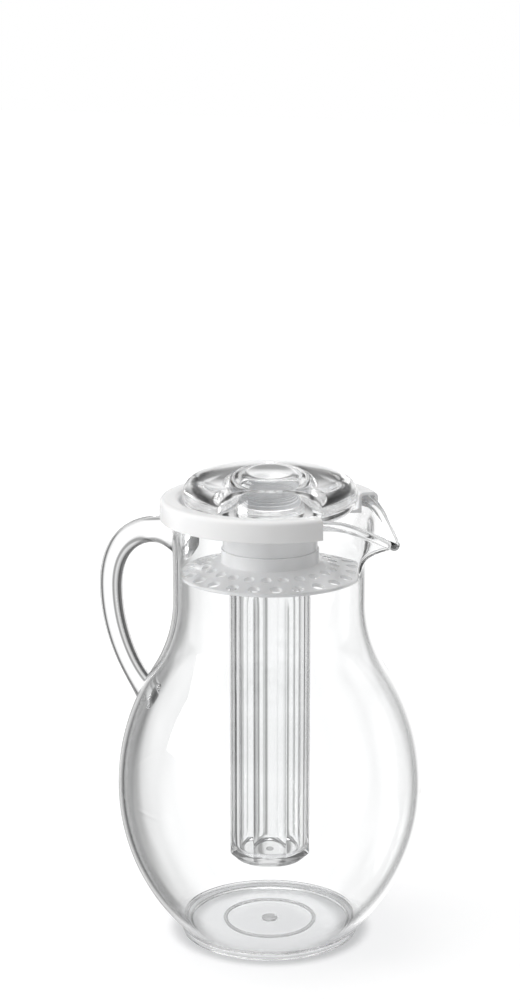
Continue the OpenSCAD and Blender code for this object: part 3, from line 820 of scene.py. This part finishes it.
class JugShape:
    """The jug's surfaces: two arcs at the belly, a blend into the neck and a lofted lip."""

    def __init__(self, jug):
        self.jug = jug
        self.bowl_x = jug.belly_r - jug.bowl_arc
        self.shoulder_x = jug.belly_r - jug.shoulder_arc
        run = jug.neck_r - self.shoulder_x
        rise = jug.neck_z - jug.belly_z
        self.blend_arc = (run**2 + rise**2 - jug.shoulder_arc**2) / (2 * (jug.shoulder_arc - run))
        self.blend_x = jug.neck_r + self.blend_arc
        way = np.array([self.blend_x - self.shoulder_x, rise])
        self.blend_way = way / np.linalg.norm(way)
        self.rim_r = jug.neck_r + jug.rim_out
        self.loft_r = jug.neck_r - jug.wall / 2
        self.lip_mid = self.rim_r + jug.lip_out - jug.lip_tip_r
        self.tangent = math.acos((self.rim_r - jug.lip_tip_r) / self.lip_mid)
        self.tip = math.atan2(
            jug.lip_tip_r * math.sin(self.tangent),
            self.lip_mid + jug.lip_tip_r * math.cos(self.tangent),
        )
        self.join = math.acos(jug.wall / 2 / jug.bead_r)

    def bowl_r(self, z, inset=0.0):
        """Radius of the lower half."""
        return self.bowl_x + np.sqrt((self.jug.bowl_arc - inset) ** 2 - (z - self.jug.belly_z) ** 2)

    def shoulder_r(self, z, inset=0.0):
        """Radius of the upper half up to the neck."""
        jug = self.jug
        z = np.asarray(z, float)
        change = jug.belly_z + self.blend_way[1] * (jug.shoulder_arc - inset)
        low = np.sqrt(np.maximum((jug.shoulder_arc - inset) ** 2 - (z - jug.belly_z) ** 2, 0))
        high = np.sqrt(np.maximum((self.blend_arc + inset) ** 2 - (jug.neck_z - z) ** 2, 0))
        return np.where(
            z <= change,
            self.shoulder_x + low,
            np.where(z <= jug.neck_z, self.blend_x - high, jug.neck_r - inset),
        )

    def lip_r(self, a):
        """Rim seen from above: a circle, two tangents and a round tip."""
        b = np.abs(a)
        side = self.rim_r / np.cos(np.minimum(self.tangent - b, 1.4))
        in_tip = np.maximum(self.jug.lip_tip_r**2 - (self.lip_mid * np.sin(b)) ** 2, 0)
        tip = self.lip_mid * np.cos(b) + np.sqrt(in_tip)
        return np.where(b >= self.tangent, self.rim_r, np.where(b >= self.tip, side, tip))

    def lip_way(self, a):
        """Way that the rim faces in plan."""
        b = np.abs(a)
        r = self.lip_r(a)
        tip = np.arctan2(r * np.sin(a), r * np.cos(a) - self.lip_mid)
        side = np.sign(a) * self.tangent
        return np.where(b >= self.tangent, a, np.where(b >= self.tip, side, tip))

    def lip_z(self, a):
        """Height of the middle of the bead."""
        jug = self.jug
        soft = np.sqrt(a**2 + jug.lip_soft**2) - jug.lip_soft
        share = np.maximum(1 - soft / jug.lip_spread, 0) ** jug.lip_ease
        return jug.rim_z - jug.lip_droop * share

    def lean(self, a, v):
        """Lean of the wall from upright at a share v of its height."""
        jug = self.jug
        reach = (self.lip_r(a) - self.loft_r) * np.cos(self.lip_way(a) - a)
        return np.arctan(reach * jug.flare * v ** (jug.flare - 1) / (self.lip_z(a) - jug.loft_z))

    @staticmethod
    def set_off(a, r, way, out, z):
        """Points at angle a and radius r, moved out in the direction way, at height z."""
        x, y = r * np.cos(a) + out * np.cos(way), r * np.sin(a) + out * np.sin(way)
        return np.stack([x, y, z], -1)

    def wall_point(self, a, v, off):
        """Points at a share v of the flaring wall, set off square to it."""
        flare = v**self.jug.flare
        way = a + (self.lip_way(a) - a) * flare
        r = self.loft_r + (self.lip_r(a) - self.loft_r) * flare
        lean = self.lean(a, v)
        z = self.jug.loft_z + (self.lip_z(a) - self.jug.loft_z) * v - off * np.sin(lean)
        return self.set_off(a, r, way, off * np.cos(lean), z)

    def bead_point(self, a, angle):
        """Points on the bead, turned from the wall's outer side over the top."""
        jug = self.jug
        lean = self.lean(a, np.ones_like(a))
        z = self.lip_z(a) + jug.bead_r * np.sin(angle - lean)
        out = jug.bead_r * np.cos(angle - lean)
        return self.set_off(a, self.lip_r(a), self.lip_way(a), out, z)

    def wall_end(self, a):
        """Share of the wall's height at which it runs into the bead."""
        drop = self.jug.bead_r * math.sin(self.join) * np.cos(self.lean(a, np.ones_like(a)))
        return 1 - drop / (self.lip_z(a) - self.jug.loft_z)

    def outside(self, z):
        """Radius of the jug's outside away from the lip, from the belly to the rim."""
        jug = self.jug
        share = np.clip((z - jug.loft_z) / (jug.rim_z - jug.loft_z), 0, 1)
        back = np.full_like(np.asarray(z, float), math.pi)
        flared = -self.wall_point(back, share, jug.wall / 2)[..., 0]
        return np.where(z <= jug.loft_z, self.shoulder_r(z), flared)


class PITCHER_OT_jug(bpy.types.Operator):
    """Build the clear jug: foot, bowl, shoulder, neck, pouring lip and rolled rim in one wall"""

    bl_idname = "pitcher.jug"
    bl_label = "Jug"

    def execute(self, context):
        jug = context.scene.pitcher_jug
        shape = JugShape(jug)
        count = 100
        steps = np.arange(-count + 1, count + 1)
        angles = np.sign(steps) * math.pi * (np.abs(steps) / count) ** 1.6
        floor_z = jug.foot_hollow + jug.floor_t
        ring_z = jug.foot_hollow - jug.ring_h
        ring_in, ring_out = jug.ring_r - jug.ring_w / 2, jug.ring_r + jug.ring_w / 2
        foot_in = jug.foot_r - jug.foot_w
        under = softened(
            [
                (0.0, ring_z, 0),
                (jug.gate_r, ring_z, FINE),
                (jug.gate_r, jug.foot_hollow, FINE),
                (ring_in, jug.foot_hollow, FINE),
                (ring_in, ring_z, FINE),
                (ring_out, ring_z, FINE),
                (ring_out, jug.foot_hollow, FINE),
                (foot_in, jug.foot_hollow, 0.0008),
                (foot_in, 0.0, 0.0009),
                (jug.foot_r, 0.0, 0.0009),
                (jug.foot_r, jug.foot_h, SMALL),
                (float(shape.bowl_r(jug.foot_h)), jug.foot_h + 0.0002, FINE),
                (float(shape.bowl_r(jug.foot_h + 0.003)), jug.foot_h + 0.003, 0),
            ]
        )
        under = stretched(under, STEP_MID)
        rising = np.linspace(jug.foot_h + 0.003, jug.belly_z - jug.seam_w, 44)[1:]
        bowl = np.stack([shape.bowl_r(rising), rising], -1)
        seam = np.array([[jug.belly_r - jug.seam_d, jug.belly_z]])
        rising = np.linspace(jug.belly_z + jug.seam_w, jug.loft_z, 62)[:-1]
        shoulder = np.stack([shape.shoulder_r(rising), rising], -1)
        falling = np.linspace(jug.loft_z, jug.belly_z, 56)[1:]
        inner_shoulder = np.stack([shape.shoulder_r(falling, jug.wall), falling], -1)
        falling = np.linspace(jug.belly_z, floor_z + 0.004, 40)[1:]
        inner_bowl = np.stack([shape.bowl_r(falling, jug.wall), falling], -1)
        floor = softened(
            [
                (float(shape.bowl_r(floor_z + 0.004, jug.wall)), floor_z + 0.004, 0),
                (float(shape.bowl_r(floor_z, jug.wall)), floor_z, 0.002),
                (0.0, floor_z, 0),
            ],
            6,
        )[1:]
        end = shape.wall_end(angles)
        half = jug.wall / 2
        shares = np.linspace(0, 1, 34)
        outer = [shape.wall_point(angles, end * s, half) for s in shares]
        sweep = math.pi + 2 * shape.join
        bead = [shape.bead_point(angles, -shape.join + sweep * k / 20) for k in range(1, 20)]
        inner = [shape.wall_point(angles, end * s, -half) for s in shares[::-1]]
        outside = np.concatenate([under, bowl, seam, shoulder])
        inside = np.concatenate([inner_shoulder, inner_bowl, stretched(floor, STEP_WIDE)])
        rows = np.concatenate(
            [revolved(outside, angles), np.array(outer + bead + inner), revolved(inside, angles)]
        )
        piece = skin("jug_wall", rows)
        settle(piece, "jug", ("jug_lower", "jug_upper", "jug_lip"), "clear_acrylic")
        return {"FINISHED"}


class PITCHER_OT_handle(bpy.types.Operator):
    """Build the solid rod handle, with a flared pad bonded to the jug at both ends"""

    bl_idname = "pitcher.handle"
    bl_label = "Handle"

    def execute(self, context):
        jug, size = context.scene.pitcher_jug, context.scene.pitcher_handle
        shape = JugShape(jug)
        top_z = jug.rim_z - size.drop
        reach = jug.neck_r + size.finger_gap + (size.top_r + size.foot_r) / 2
        foot_x = float(shape.shoulder_r(size.foot_z))
        upper = np.array(
            [
                [jug.neck_r - size.sink, top_z],
                [jug.neck_r + size.run, top_z + size.rise],
                [reach, size.mid_z + size.bend],
                [reach, size.mid_z],
            ]
        )
        lower = np.array(
            [
                [reach, size.mid_z],
                [reach, size.mid_z - size.fall],
                [foot_x + size.landing, size.foot_z + size.landing],
                [foot_x - size.sink, size.foot_z - size.sink],
            ]
        )

        def rod_point(t, angle):
            """Points on the rod at a way t from 0 to 2, turned by an angle round it."""
            t = np.asarray(t, float)
            low = (t >= 1)[..., None]
            s = np.where(t < 1, t, t - 1)[..., None]
            p = [np.where(low, b, a) for a, b in zip(upper, lower)]
            q = 1 - s
            mid = q**3 * p[0] + 3 * q**2 * s * p[1] + 3 * q * s**2 * p[2] + s**3 * p[3]
            way = q**2 * (p[1] - p[0]) + 2 * q * s * (p[2] - p[1]) + s**2 * (p[3] - p[2])
            way = way / np.linalg.norm(way, axis=-1, keepdims=True)
            r = (
                size.top_r
                + (size.foot_r - size.top_r) * t / 2
                + (size.pad_top_r - size.top_r) * np.maximum(0, 1 - t / size.pad_run) ** 3
                + (size.pad_foot_r - size.foot_r) * np.maximum(0, 1 - (2 - t) / size.pad_run) ** 3
            )
            out, side = r * np.cos(angle), r * np.sin(angle)
            x = -mid[..., 0] - out * way[..., 1]
            return np.stack([x, side, mid[..., 1] - out * way[..., 0]], -1)

        def clear_of_jug(p):
            """How far points stand outside the jug."""
            return np.hypot(p[..., 0], p[..., 1]) - shape.outside(p[..., 2]) - size.bond

        sides = even_angles(56)

        def leaving(start, stop):
            """Way at which each line along the rod leaves the jug."""
            inside, beyond = np.full(len(sides), start), np.full(len(sides), stop)
            for _ in range(40):
                mid = (inside + beyond) / 2
                out = clear_of_jug(rod_point(mid, sides)) > 0
                beyond, inside = np.where(out, mid, beyond), np.where(out, inside, mid)
            return beyond

        first, last = leaving(0.0, 0.6), leaving(2.0, 1.4)
        steps = 130
        shares = (1 - np.cos(np.linspace(0, math.pi, steps + 1))) / 2
        rows = [rod_point(first + (last - first) * s, sides) for s in shares]

        def pad(edge):
            """Rows from a pad's middle out to its edge, laid on the jug."""
            middle = edge.mean(axis=0)
            made = []
            for k in range(9):
                ring = middle + (edge - middle) * (k / 9)
                r = shape.outside(ring[:, 2]) + size.bond
                x = -np.sqrt(r**2 - ring[:, 1] ** 2)
                made.append(np.stack([x, ring[:, 1], ring[:, 2]], -1))
            return made

        points = np.array(pad(rows[0]) + rows + pad(rows[-1])[::-1])
        piece = skin("handle_rod", points)
        piece.data.set_sharp_from_angle(angle=math.radians(50))
        settle(piece, "jug", ("handle",), "clear_acrylic")
        return {"FINISHED"}


class PITCHER_OT_lid(bpy.types.Operator):
    """Build the white lid: channel over the rim, dish, notch for the lip and threaded hub"""

    bl_idname = "pitcher.lid"
    bl_label = "Lid"

    def execute(self, context):
        size, cut = context.scene.pitcher_lid, context.scene.pitcher_thread
        top = box_level("lid", 1)
        lid_r = -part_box("lid")[0][0]
        spigot_z = box_level("lid", 0)
        dish_r = lid_r - size.channel_w - 2 * size.wall
        dish_z = top - size.dish_depth
        skirt_z = top - size.skirt_h
        hub_z = dish_z - size.hub_h
        hub_r = size.hub_bore_r + size.hub_wall
        spigot_r = size.hub_bore_r + size.spigot_w
        outline = softened(
            [
                (size.hub_bore_r, dish_z, 0.0005),
                (dish_r, dish_z, 0.0018),
                (dish_r, top, size.edge),
                (lid_r, top, size.edge),
                (lid_r, skirt_z, SMALL),
                (lid_r - size.wall, skirt_z, SMALL),
                (lid_r - size.wall, top - size.wall, 0.001),
                (dish_r + size.wall, top - size.wall, 0.001),
                (dish_r + size.wall, skirt_z, FINE),
                (dish_r, skirt_z, FINE),
                (dish_r - 0.0004, dish_z - size.wall, FINE),
                (hub_r, dish_z - size.wall, 0.0012),
                (hub_r, hub_z, FINE),
                (spigot_r, hub_z, 0.0002),
                (spigot_r, spigot_z, FINE),
                (size.hub_bore_r, spigot_z, FINE),
            ],
            5,
            closed=True,
        )
        bore = np.linspace(outline[-1, 1], outline[0, 1], 120)[1:-1]
        wall = np.stack([np.full_like(bore, size.hub_bore_r), bore], -1)
        outline = np.concatenate([outline, wall])
        piece = skin("lid_moulding", revolved(outline, even_angles(224)), loop=True)
        threaded(
            piece,
            "white_plastic",
            size.hub_bore_r,
            -cut.ridge,
            cut.stem_pitch,
            spigot_z + 0.001,
            dish_z - 0.002,
            0.5,
        )
        plain(piece)
        self.notch(piece, size, hub_r + size.flange_w, hub_z, top + 0.005)
        settle(piece, "lid", ("lid",), "white_plastic")
        return {"FINISHED"}

    def notch(self, piece, size, floor_r, low, high):
        """Cuts the notch for the lip out of rail and dish, and breaks its edges."""
        far = 0.09
        bend = size.notch_fillet
        mid_r = floor_r + bend
        mid_a = size.notch_half - math.asin(bend / mid_r)
        mid = mid_r * np.array([math.cos(mid_a), math.sin(mid_a)])
        edge = np.array([math.cos(size.notch_half), math.sin(size.notch_half)])
        aside = np.array([-edge[1], edge[0]])
        arc = [floor_r * np.array([math.cos(a), math.sin(a)]) for a in np.linspace(0, mid_a, 24)]
        start = math.pi + mid_a
        stop = math.atan2(aside[1], aside[0])
        swing = [start + (stop - start) * k / 10 for k in range(1, 11)]
        arc += [mid + bend * np.array([math.cos(a), math.sin(a)]) for a in swing]
        arc.append(far * edge)
        plan = [(x, -y) for x, y in arc[:0:-1]] + [tuple(p) for p in arc]
        count = len(plan)
        points = [(x, y, z) for z in (low, high) for x, y in plan]
        faces = [tuple(range(count - 1, -1, -1)), tuple(range(count, 2 * count))]
        for i in range(count):
            k = (i + 1) % count
            faces.append((i, k, count + k, count + i))
        cutter = mesh_piece("notch_cutter", np.array(points), faces)
        knife = piece.modifiers.new("Notch", "BOOLEAN")
        knife.operation = "DIFFERENCE"
        knife.solver = "EXACT"
        knife.object = cutter
        plain(piece, math.radians(35))
        bpy.data.objects.remove(cutter)
        broken = piece.modifiers.new("Edge break", "BEVEL")
        broken.width = size.broken_edge
        broken.segments = 2
        broken.limit_method = "ANGLE"
        broken.angle_limit = math.radians(50)
        plain(piece, math.radians(35))


class PITCHER_OT_strainer(bpy.types.Operator):
    """Build the white strainer: collar, perforated sloping flange and threaded socket"""

    bl_idname = "pitcher.strainer"
    bl_label = "Strainer"

    def execute(self, context):
        size, cut = context.scene.pitcher_strainer, context.scene.pitcher_thread
        low, high = box_level("strainer", 0), box_level("strainer", 1)
        edge_r = -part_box("strainer")[0][0]
        collar_z = high - size.collar_h
        recess_z = high - size.recess_h
        fall = (edge_r - size.collar_r) * math.tan(size.slope)
        thick = size.flange_t / math.cos(size.slope)
        socket_out = size.socket_r + size.socket_wall
        outline = softened(
            [
                (size.socket_r, size.socket_top, FINE),
                (size.bore_r, size.socket_top, FINE),
                (size.bore_r, recess_z, FINE),
                (size.recess_r, recess_z, FINE),
                (size.recess_r, high, FINE),
                (size.collar_r, high, SMALL),
                (size.collar_r, collar_z, FULL),
                (edge_r, collar_z - fall, FULL),
                (edge_r, collar_z - fall - thick, FULL),
                (size.collar_r, collar_z - thick, FULL),
                (socket_out, collar_z - thick, FULL),
                (socket_out, low, 0.0005),
                (size.socket_r, low, 0.0005),
            ],
            4,
            closed=True,
        )
        bore = np.linspace(outline[-1, 1], outline[0, 1], 60)[1:-1]
        wall = np.stack([np.full_like(bore, size.socket_r), bore], -1)
        outline = np.concatenate([outline, wall])
        piece = skin("strainer_moulding", revolved(outline, even_angles(192)), loop=True)
        threaded(
            piece,
            "white_plastic",
            size.socket_r,
            -cut.ridge,
            cut.tube_pitch,
            low + 0.0008,
            size.socket_top - 0.0005,
            0.5,
        )
        plain(piece)
        perforation_tree().put_on(
            piece,
            Holes=size.holes,
            Outer_row=size.outer_row_r,
            Outer_hole=size.outer_hole_r,
            Inner_row=size.inner_row_r,
            Inner_hole=size.inner_hole_r,
            Level=collar_z - fall / 2,
            Depth=0.02,
            Material=finish_named("white_plastic"),
        )
        plain(piece, math.radians(35))
        settle(piece, "lid", ("strainer",), "white_plastic")
        return {"FINISHED"}


class PITCHER_OT_ice_tube(bpy.types.Operator):
    """Build the clear ice tube: eight flats outside, round bore, trimmed corners, threaded neck"""

    bl_idname = "pitcher.ice_tube"
    bl_label = "Ice tube"

    def execute(self, context):
        size, cut = context.scene.pitcher_tube, context.scene.pitcher_thread
        low, top = box_level("ice_tube", 0), box_level("ice_tube", 1)
        shoulder_z = top - size.neck_h
        half = math.pi / size.flats
        inner = (size.flat_r - size.corner_round) / math.cos(half)
        flat_end = math.atan((size.flat_r - size.corner_round) * math.tan(half) / size.flat_r)
        local = np.concatenate(
            [
                np.linspace(-half, -flat_end, 6)[:-1],
                np.linspace(-flat_end, flat_end, 15),
                np.linspace(flat_end, half, 6)[1:-1],
            ]
        )
        offs = np.tile(local, size.flats)
        angles = np.repeat(np.arange(size.flats) * 2 * half, len(local)) + offs + size.turned
        near = half - np.abs(offs)
        corner = inner * np.cos(near) + np.sqrt(
            np.maximum(size.corner_round**2 - (inner * np.sin(near)) ** 2, 0)
        )
        flat = np.where(np.abs(offs) <= flat_end, size.flat_r / np.cos(offs), corner)
        corner_r = size.flat_r / math.cos(half)
        bevel_z = low + size.bevel + flat - size.flat_r
        trim = (corner_r - flat) / (corner_r - size.collar_r)
        trim_z = shoulder_z - size.shoulder_h * (1 - trim)

        def level(r, z):
            """One row of points at these radii and heights."""
            r, z = np.broadcast_to(r, angles.shape), np.broadcast_to(z, angles.shape)
            return np.stack([r * np.cos(angles), r * np.sin(angles), z], -1)

        under = softened(
            [
                (0.0, low + size.hollow + 0.0002, 0),
                (0.0022, low + size.hollow + 0.0002, 0.0002),
                (0.0026, low + size.hollow, 0.0002),
                (size.hollow_r, low + size.hollow, SMALL),
                (size.hollow_r, low, FINE),
                (size.flat_r - size.bevel, low, SMALL),
                (size.flat_r, low + size.bevel, 0),
            ]
        )[:-1]
        rows = [level(r, z) for r, z in stretched(under, STEP_FINE)]
        foot_r = size.flat_r - size.bevel
        for share in (0.25, 0.5, 0.75, 0.92):
            rows.append(level(foot_r + (flat - foot_r) * share, low + (bevel_z - low) * share))
        rows.append(level(flat - 0.00006, bevel_z + 0.00006))
        rows.append(level(flat, bevel_z + 0.0003))
        for share in np.linspace(0, 1, 24)[1:-1]:
            rows.append(level(flat, bevel_z + (trim_z - bevel_z) * share))
        rows.append(level(flat, trim_z - 0.0003))
        rows.append(level(flat - 0.00005, trim_z + 0.00003))
        for share in (0.12, 0.5, 0.9):
            rows.append(
                level(
                    flat + (size.collar_r - flat) * share,
                    trim_z + (shoulder_z - trim_z) * share,
                )
            )
        floor_z = low + size.floor_t
        lip = softened(
            [
                (size.collar_r + 0.0001, shoulder_z - 0.0001, 0),
                (size.neck_r, shoulder_z, FINE),
                (size.neck_r, top, FULL),
                (size.bore_r, top, FULL),
                (size.bore_r, floor_z, 0.004),
                (0.0, floor_z, 0),
            ],
            6,
        )
        neck = [p for p in lip if p[1] <= shoulder_z + 0.001 and p[0] >= size.neck_r - 1e-9]
        rows += [level(r, z) for r, z in neck]
        start = neck[-1][1]
        rest = lip[len(neck) :]
        stop = rest[0][1]
        rows += [level(size.neck_r, z) for z in np.linspace(start, stop, 60)[1:-1]]
        rows += [level(r, z) for r, z in stretched(rest, STEP_WIDE)]
        piece = skin("ice_tube_shell", np.array(rows))
        thread_z = shoulder_z + 0.0009
        threaded(
            piece,
            "tube_acrylic",
            size.neck_r,
            cut.ridge,
            cut.tube_pitch,
            thread_z,
            thread_z + cut.tube_run,
        )
        plain(piece, math.radians(60))
        settle(piece, "ice_tube", ("ice_tube",), "tube_acrylic")
        return {"FINISHED"}


class PITCHER_OT_knob(bpy.types.Operator):
    """Build the clear knob: domed round head and hollow stem with a screw thread"""

    bl_idname = "pitcher.knob"
    bl_label = "Knob"

    def execute(self, context):
        size, cut = context.scene.pitcher_knob, context.scene.pitcher_thread
        low, top = box_level("knob", 0), box_level("knob", 1)
        knob_r = -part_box("knob")[0][0]
        seat_z = low + size.stem_h
        bore_r = size.stem_r - size.stem_wall
        bore_z = seat_z + size.bore_rise
        edge_mid = np.array([knob_r - size.edge_r, seat_z + size.edge_r])
        rim_r = edge_mid[0] + size.dome_over
        rim_z = edge_mid[1] + math.sqrt(size.edge_r**2 - size.dome_over**2)
        dome_arc = (rim_r**2 + size.dome**2) / (2 * size.dome)
        stem = softened(
            [
                (0.0, bore_z, 0),
                (bore_r, bore_z, size.bore_round),
                (bore_r, low, SMALL),
                (size.stem_r - size.bevel, low, SMALL),
                (size.stem_r, low + size.bevel, SMALL),
                (size.stem_r, seat_z, 0.0008),
                (edge_mid[0], seat_z, 0),
            ],
            14,
        )
        stem = fine_wall(stem, size.stem_r, 150)
        stop = math.acos(size.dome_over / size.edge_r)
        round_edge = [
            edge_mid + size.edge_r * np.array([math.cos(a), math.sin(a)])
            for a in np.linspace(-math.pi / 2, stop - 0.012, 44)[1:]
        ]
        reach = math.asin(rim_r / dome_arc)
        dome = [
            np.array([dome_arc * math.sin(a), rim_z + size.dome - dome_arc * (1 - math.cos(a))])
            for a in np.linspace(reach * 0.992, 0.0026 / dome_arc, 34)
        ]
        gate = softened(
            [
                (0.0026, top - 0.00001, 0),
                (0.0020, top - 0.00022, 0.0005),
                (0.0, top - 0.00026, 0),
            ]
        )[1:]
        outline = np.concatenate([stem, np.array(round_edge), np.array(dome), gate])
        piece = skin("knob_head", revolved(outline, even_angles(208)))
        thread_z = low + size.bevel
        threaded(
            piece,
            "clear_acrylic",
            size.stem_r,
            cut.ridge,
            cut.stem_pitch,
            thread_z,
            thread_z + cut.stem_run,
        )
        plain(piece, math.radians(60))
        settle(piece, "knob", ("knob",), "clear_acrylic")
        return {"FINISHED"}


class PITCHER_OT_stage(bpy.types.Operator):
    """Set out the pale floor, the white room, the soft lamps and the camera"""

    bl_idname = "pitcher.stage"
    bl_label = "Stage"

    def execute(self, context):
        size = context.scene.pitcher_stage
        self.floor(size)
        self.room(context.scene, size)
        for lamp in LAMPS:
            self.lamp(*lamp)
        self.camera(context.scene, size)
        context.scene.view_settings.view_transform = "Standard"
        rays = context.scene.cycles
        rays.max_bounces = rays.transmission_bounces = rays.glossy_bounces = 64
        rays.transparent_max_bounces = 40
        rays.caustics_reflective = False
        rays.caustics_refractive = False
        return {"FINISHED"}

    def floor(self, size):
        """A pale floor: white to the camera away from the shadow, with painted shade under the foot
        ring, and open beyond it to light that has passed the clear pieces, so that they show the
        room."""
        s = size.floor_size
        mesh = bpy.data.meshes.new("floor")
        mesh.from_pydata([(-s, -s, 0), (s, -s, 0), (s, s, 0), (-s, s, 0)], [], [(0, 1, 2, 3)])
        floor = bpy.data.objects.new("floor", mesh)
        bpy.context.scene.collection.objects.link(floor)
        p = paint("floor_white")
        away = p.node("ShaderNodeVectorMath", {0: p.place}, operation="LENGTH").outputs["Value"]
        spread = p.ramp(away, *GLOW_RUN, size.floor_near, size.floor_far)
        # The glow dips in a ring under the foot ring: a painted contact shadow.
        inner = p.ramp(away, *SHADE_IN, 1.0, size.painted_contact_shadow)
        outer = p.ramp(away, *SHADE_OUT, size.painted_contact_shadow, 1.0)
        lit = p.math("MULTIPLY", spread, p.math("MAXIMUM", inner, outer))
        path = p.node("ShaderNodeLightPath").outputs
        tone = (size.floor_tone, size.floor_tone, size.floor_tone, 1.0)
        sheet = p.node("ShaderNodeBsdfDiffuse", {"Color": tone}).outputs[0]
        shine = p.glow("ShaderNodeEmission", lit)
        seen = p.node("ShaderNodeAddShader", {0: sheet, 1: shine}).outputs[0]
        bare = p.node("ShaderNodeBsdfDiffuse", {"Color": (0.8, 0.8, 0.8, 1.0)}).outputs[0]
        open_way = p.node("ShaderNodeBsdfTransparent").outputs[0]
        clear = p.math("MAXIMUM", path["Is Transmission Ray"], path["Is Glossy Ray"])
        opened = p.math("MULTIPLY", clear, p.ramp(away, *OPEN_RUN))
        shown = p.math("MAXIMUM", path["Is Camera Ray"], path["Is Transmission Ray"])
        solid = p.blend(shown, bare, seen)
        mesh.materials.append(p.shade(p.blend(opened, solid, open_way)))

    def room(self, scene, size):
        """White for the camera, an even fill for the surfaces, and the studio's window and flags
        for what gloss and the clear pieces show."""
        world = bpy.data.worlds.new("room")
        scene.world = world
        p = Shading(world, "Generated", "ShaderNodeOutputWorld")
        path = p.node("ShaderNodeLightPath").outputs
        through = p.math("MAXIMUM", path["Is Transmission Ray"], path["Is Glossy Ray"])
        fill = p.glow("ShaderNodeBackground", size.fill)
        cards = p.glow("ShaderNodeBackground", p.studio(p.place, size))
        white = p.glow("ShaderNodeBackground", 1.0)
        p.shade(p.blend(path["Is Camera Ray"], p.blend(through, fill, cards), white))

    def lamp(self, name, place, aim, side, watts):
        """A soft square lamp that isn't mirrored in the glossy pieces."""
        data = bpy.data.lights.new(name, "AREA")
        data.shape = "RECTANGLE"
        data.size = data.size_y = side
        data.energy = watts
        lamp = bpy.data.objects.new(name, data)
        lamp.location = place
        lamp.visible_glossy = False
        lamp.rotation_mode = "QUATERNION"
        lamp.rotation_quaternion = (Vector(aim) - Vector(place)).to_track_quat("-Z", "Y")
        bpy.context.scene.collection.objects.link(lamp)

    def camera(self, scene, size):
        """The camera at the viewing angle of the product shot."""
        data = bpy.data.cameras.new("camera")
        data.lens = size.lens
        data.sensor_width = 36.0
        data.clip_end = 50.0
        camera = bpy.data.objects.new("camera", data)
        camera.location = size.camera
        camera.rotation_euler = (size.pitch, 0.0, size.yaw)
        scene.collection.objects.link(camera)
        scene.camera = camera


SETTINGS = {
    "pitcher_jug": JugSizes,
    "pitcher_handle": HandleSizes,
    "pitcher_lid": LidSizes,
    "pitcher_strainer": StrainerSizes,
    "pitcher_tube": TubeSizes,
    "pitcher_knob": KnobSizes,
    "pitcher_thread": ThreadSizes,
    "pitcher_finish": Finishes,
    "pitcher_stage": StageSizes,
}

STEPS = (
    PITCHER_OT_stage,
    PITCHER_OT_jug,
    PITCHER_OT_handle,
    PITCHER_OT_lid,
    PITCHER_OT_strainer,
    PITCHER_OT_ice_tube,
    PITCHER_OT_knob,
)


class PITCHER_PT_panel(bpy.types.Panel):
    """Sizes, finishes and steps of the pitcher"""

    bl_idname = "PITCHER_PT_panel"
    bl_label = "Ice tube pitcher"
    bl_space_type = "VIEW_3D"
    bl_region_type = "UI"
    bl_category = "Pitcher"

    def draw(self, context):
        for step in STEPS:
            self.layout.operator(step.bl_idname)
        for name, group in SETTINGS.items():
            box = self.layout.box()
            box.label(text=name.split("_")[1].capitalize())
            for key in group.__annotations__:
                box.prop(getattr(context.scene, name), key)


CLASSES = (*SETTINGS.values(), *STEPS, PITCHER_PT_panel)


def register():
    for made in CLASSES:
        bpy.utils.register_class(made)
    for name, group in SETTINGS.items():
        setattr(bpy.types.Scene, name, PointerProperty(type=group))


def unregister():
    for name in SETTINGS:
        delattr(bpy.types.Scene, name)
    for made in reversed(CLASSES):
        bpy.utils.unregister_class(made)


def main():
    register()
    for step in STEPS:
        group, name = step.bl_idname.split(".")
        getattr(getattr(bpy.ops, group), name)()


if __name__ == "__main__":
    main()
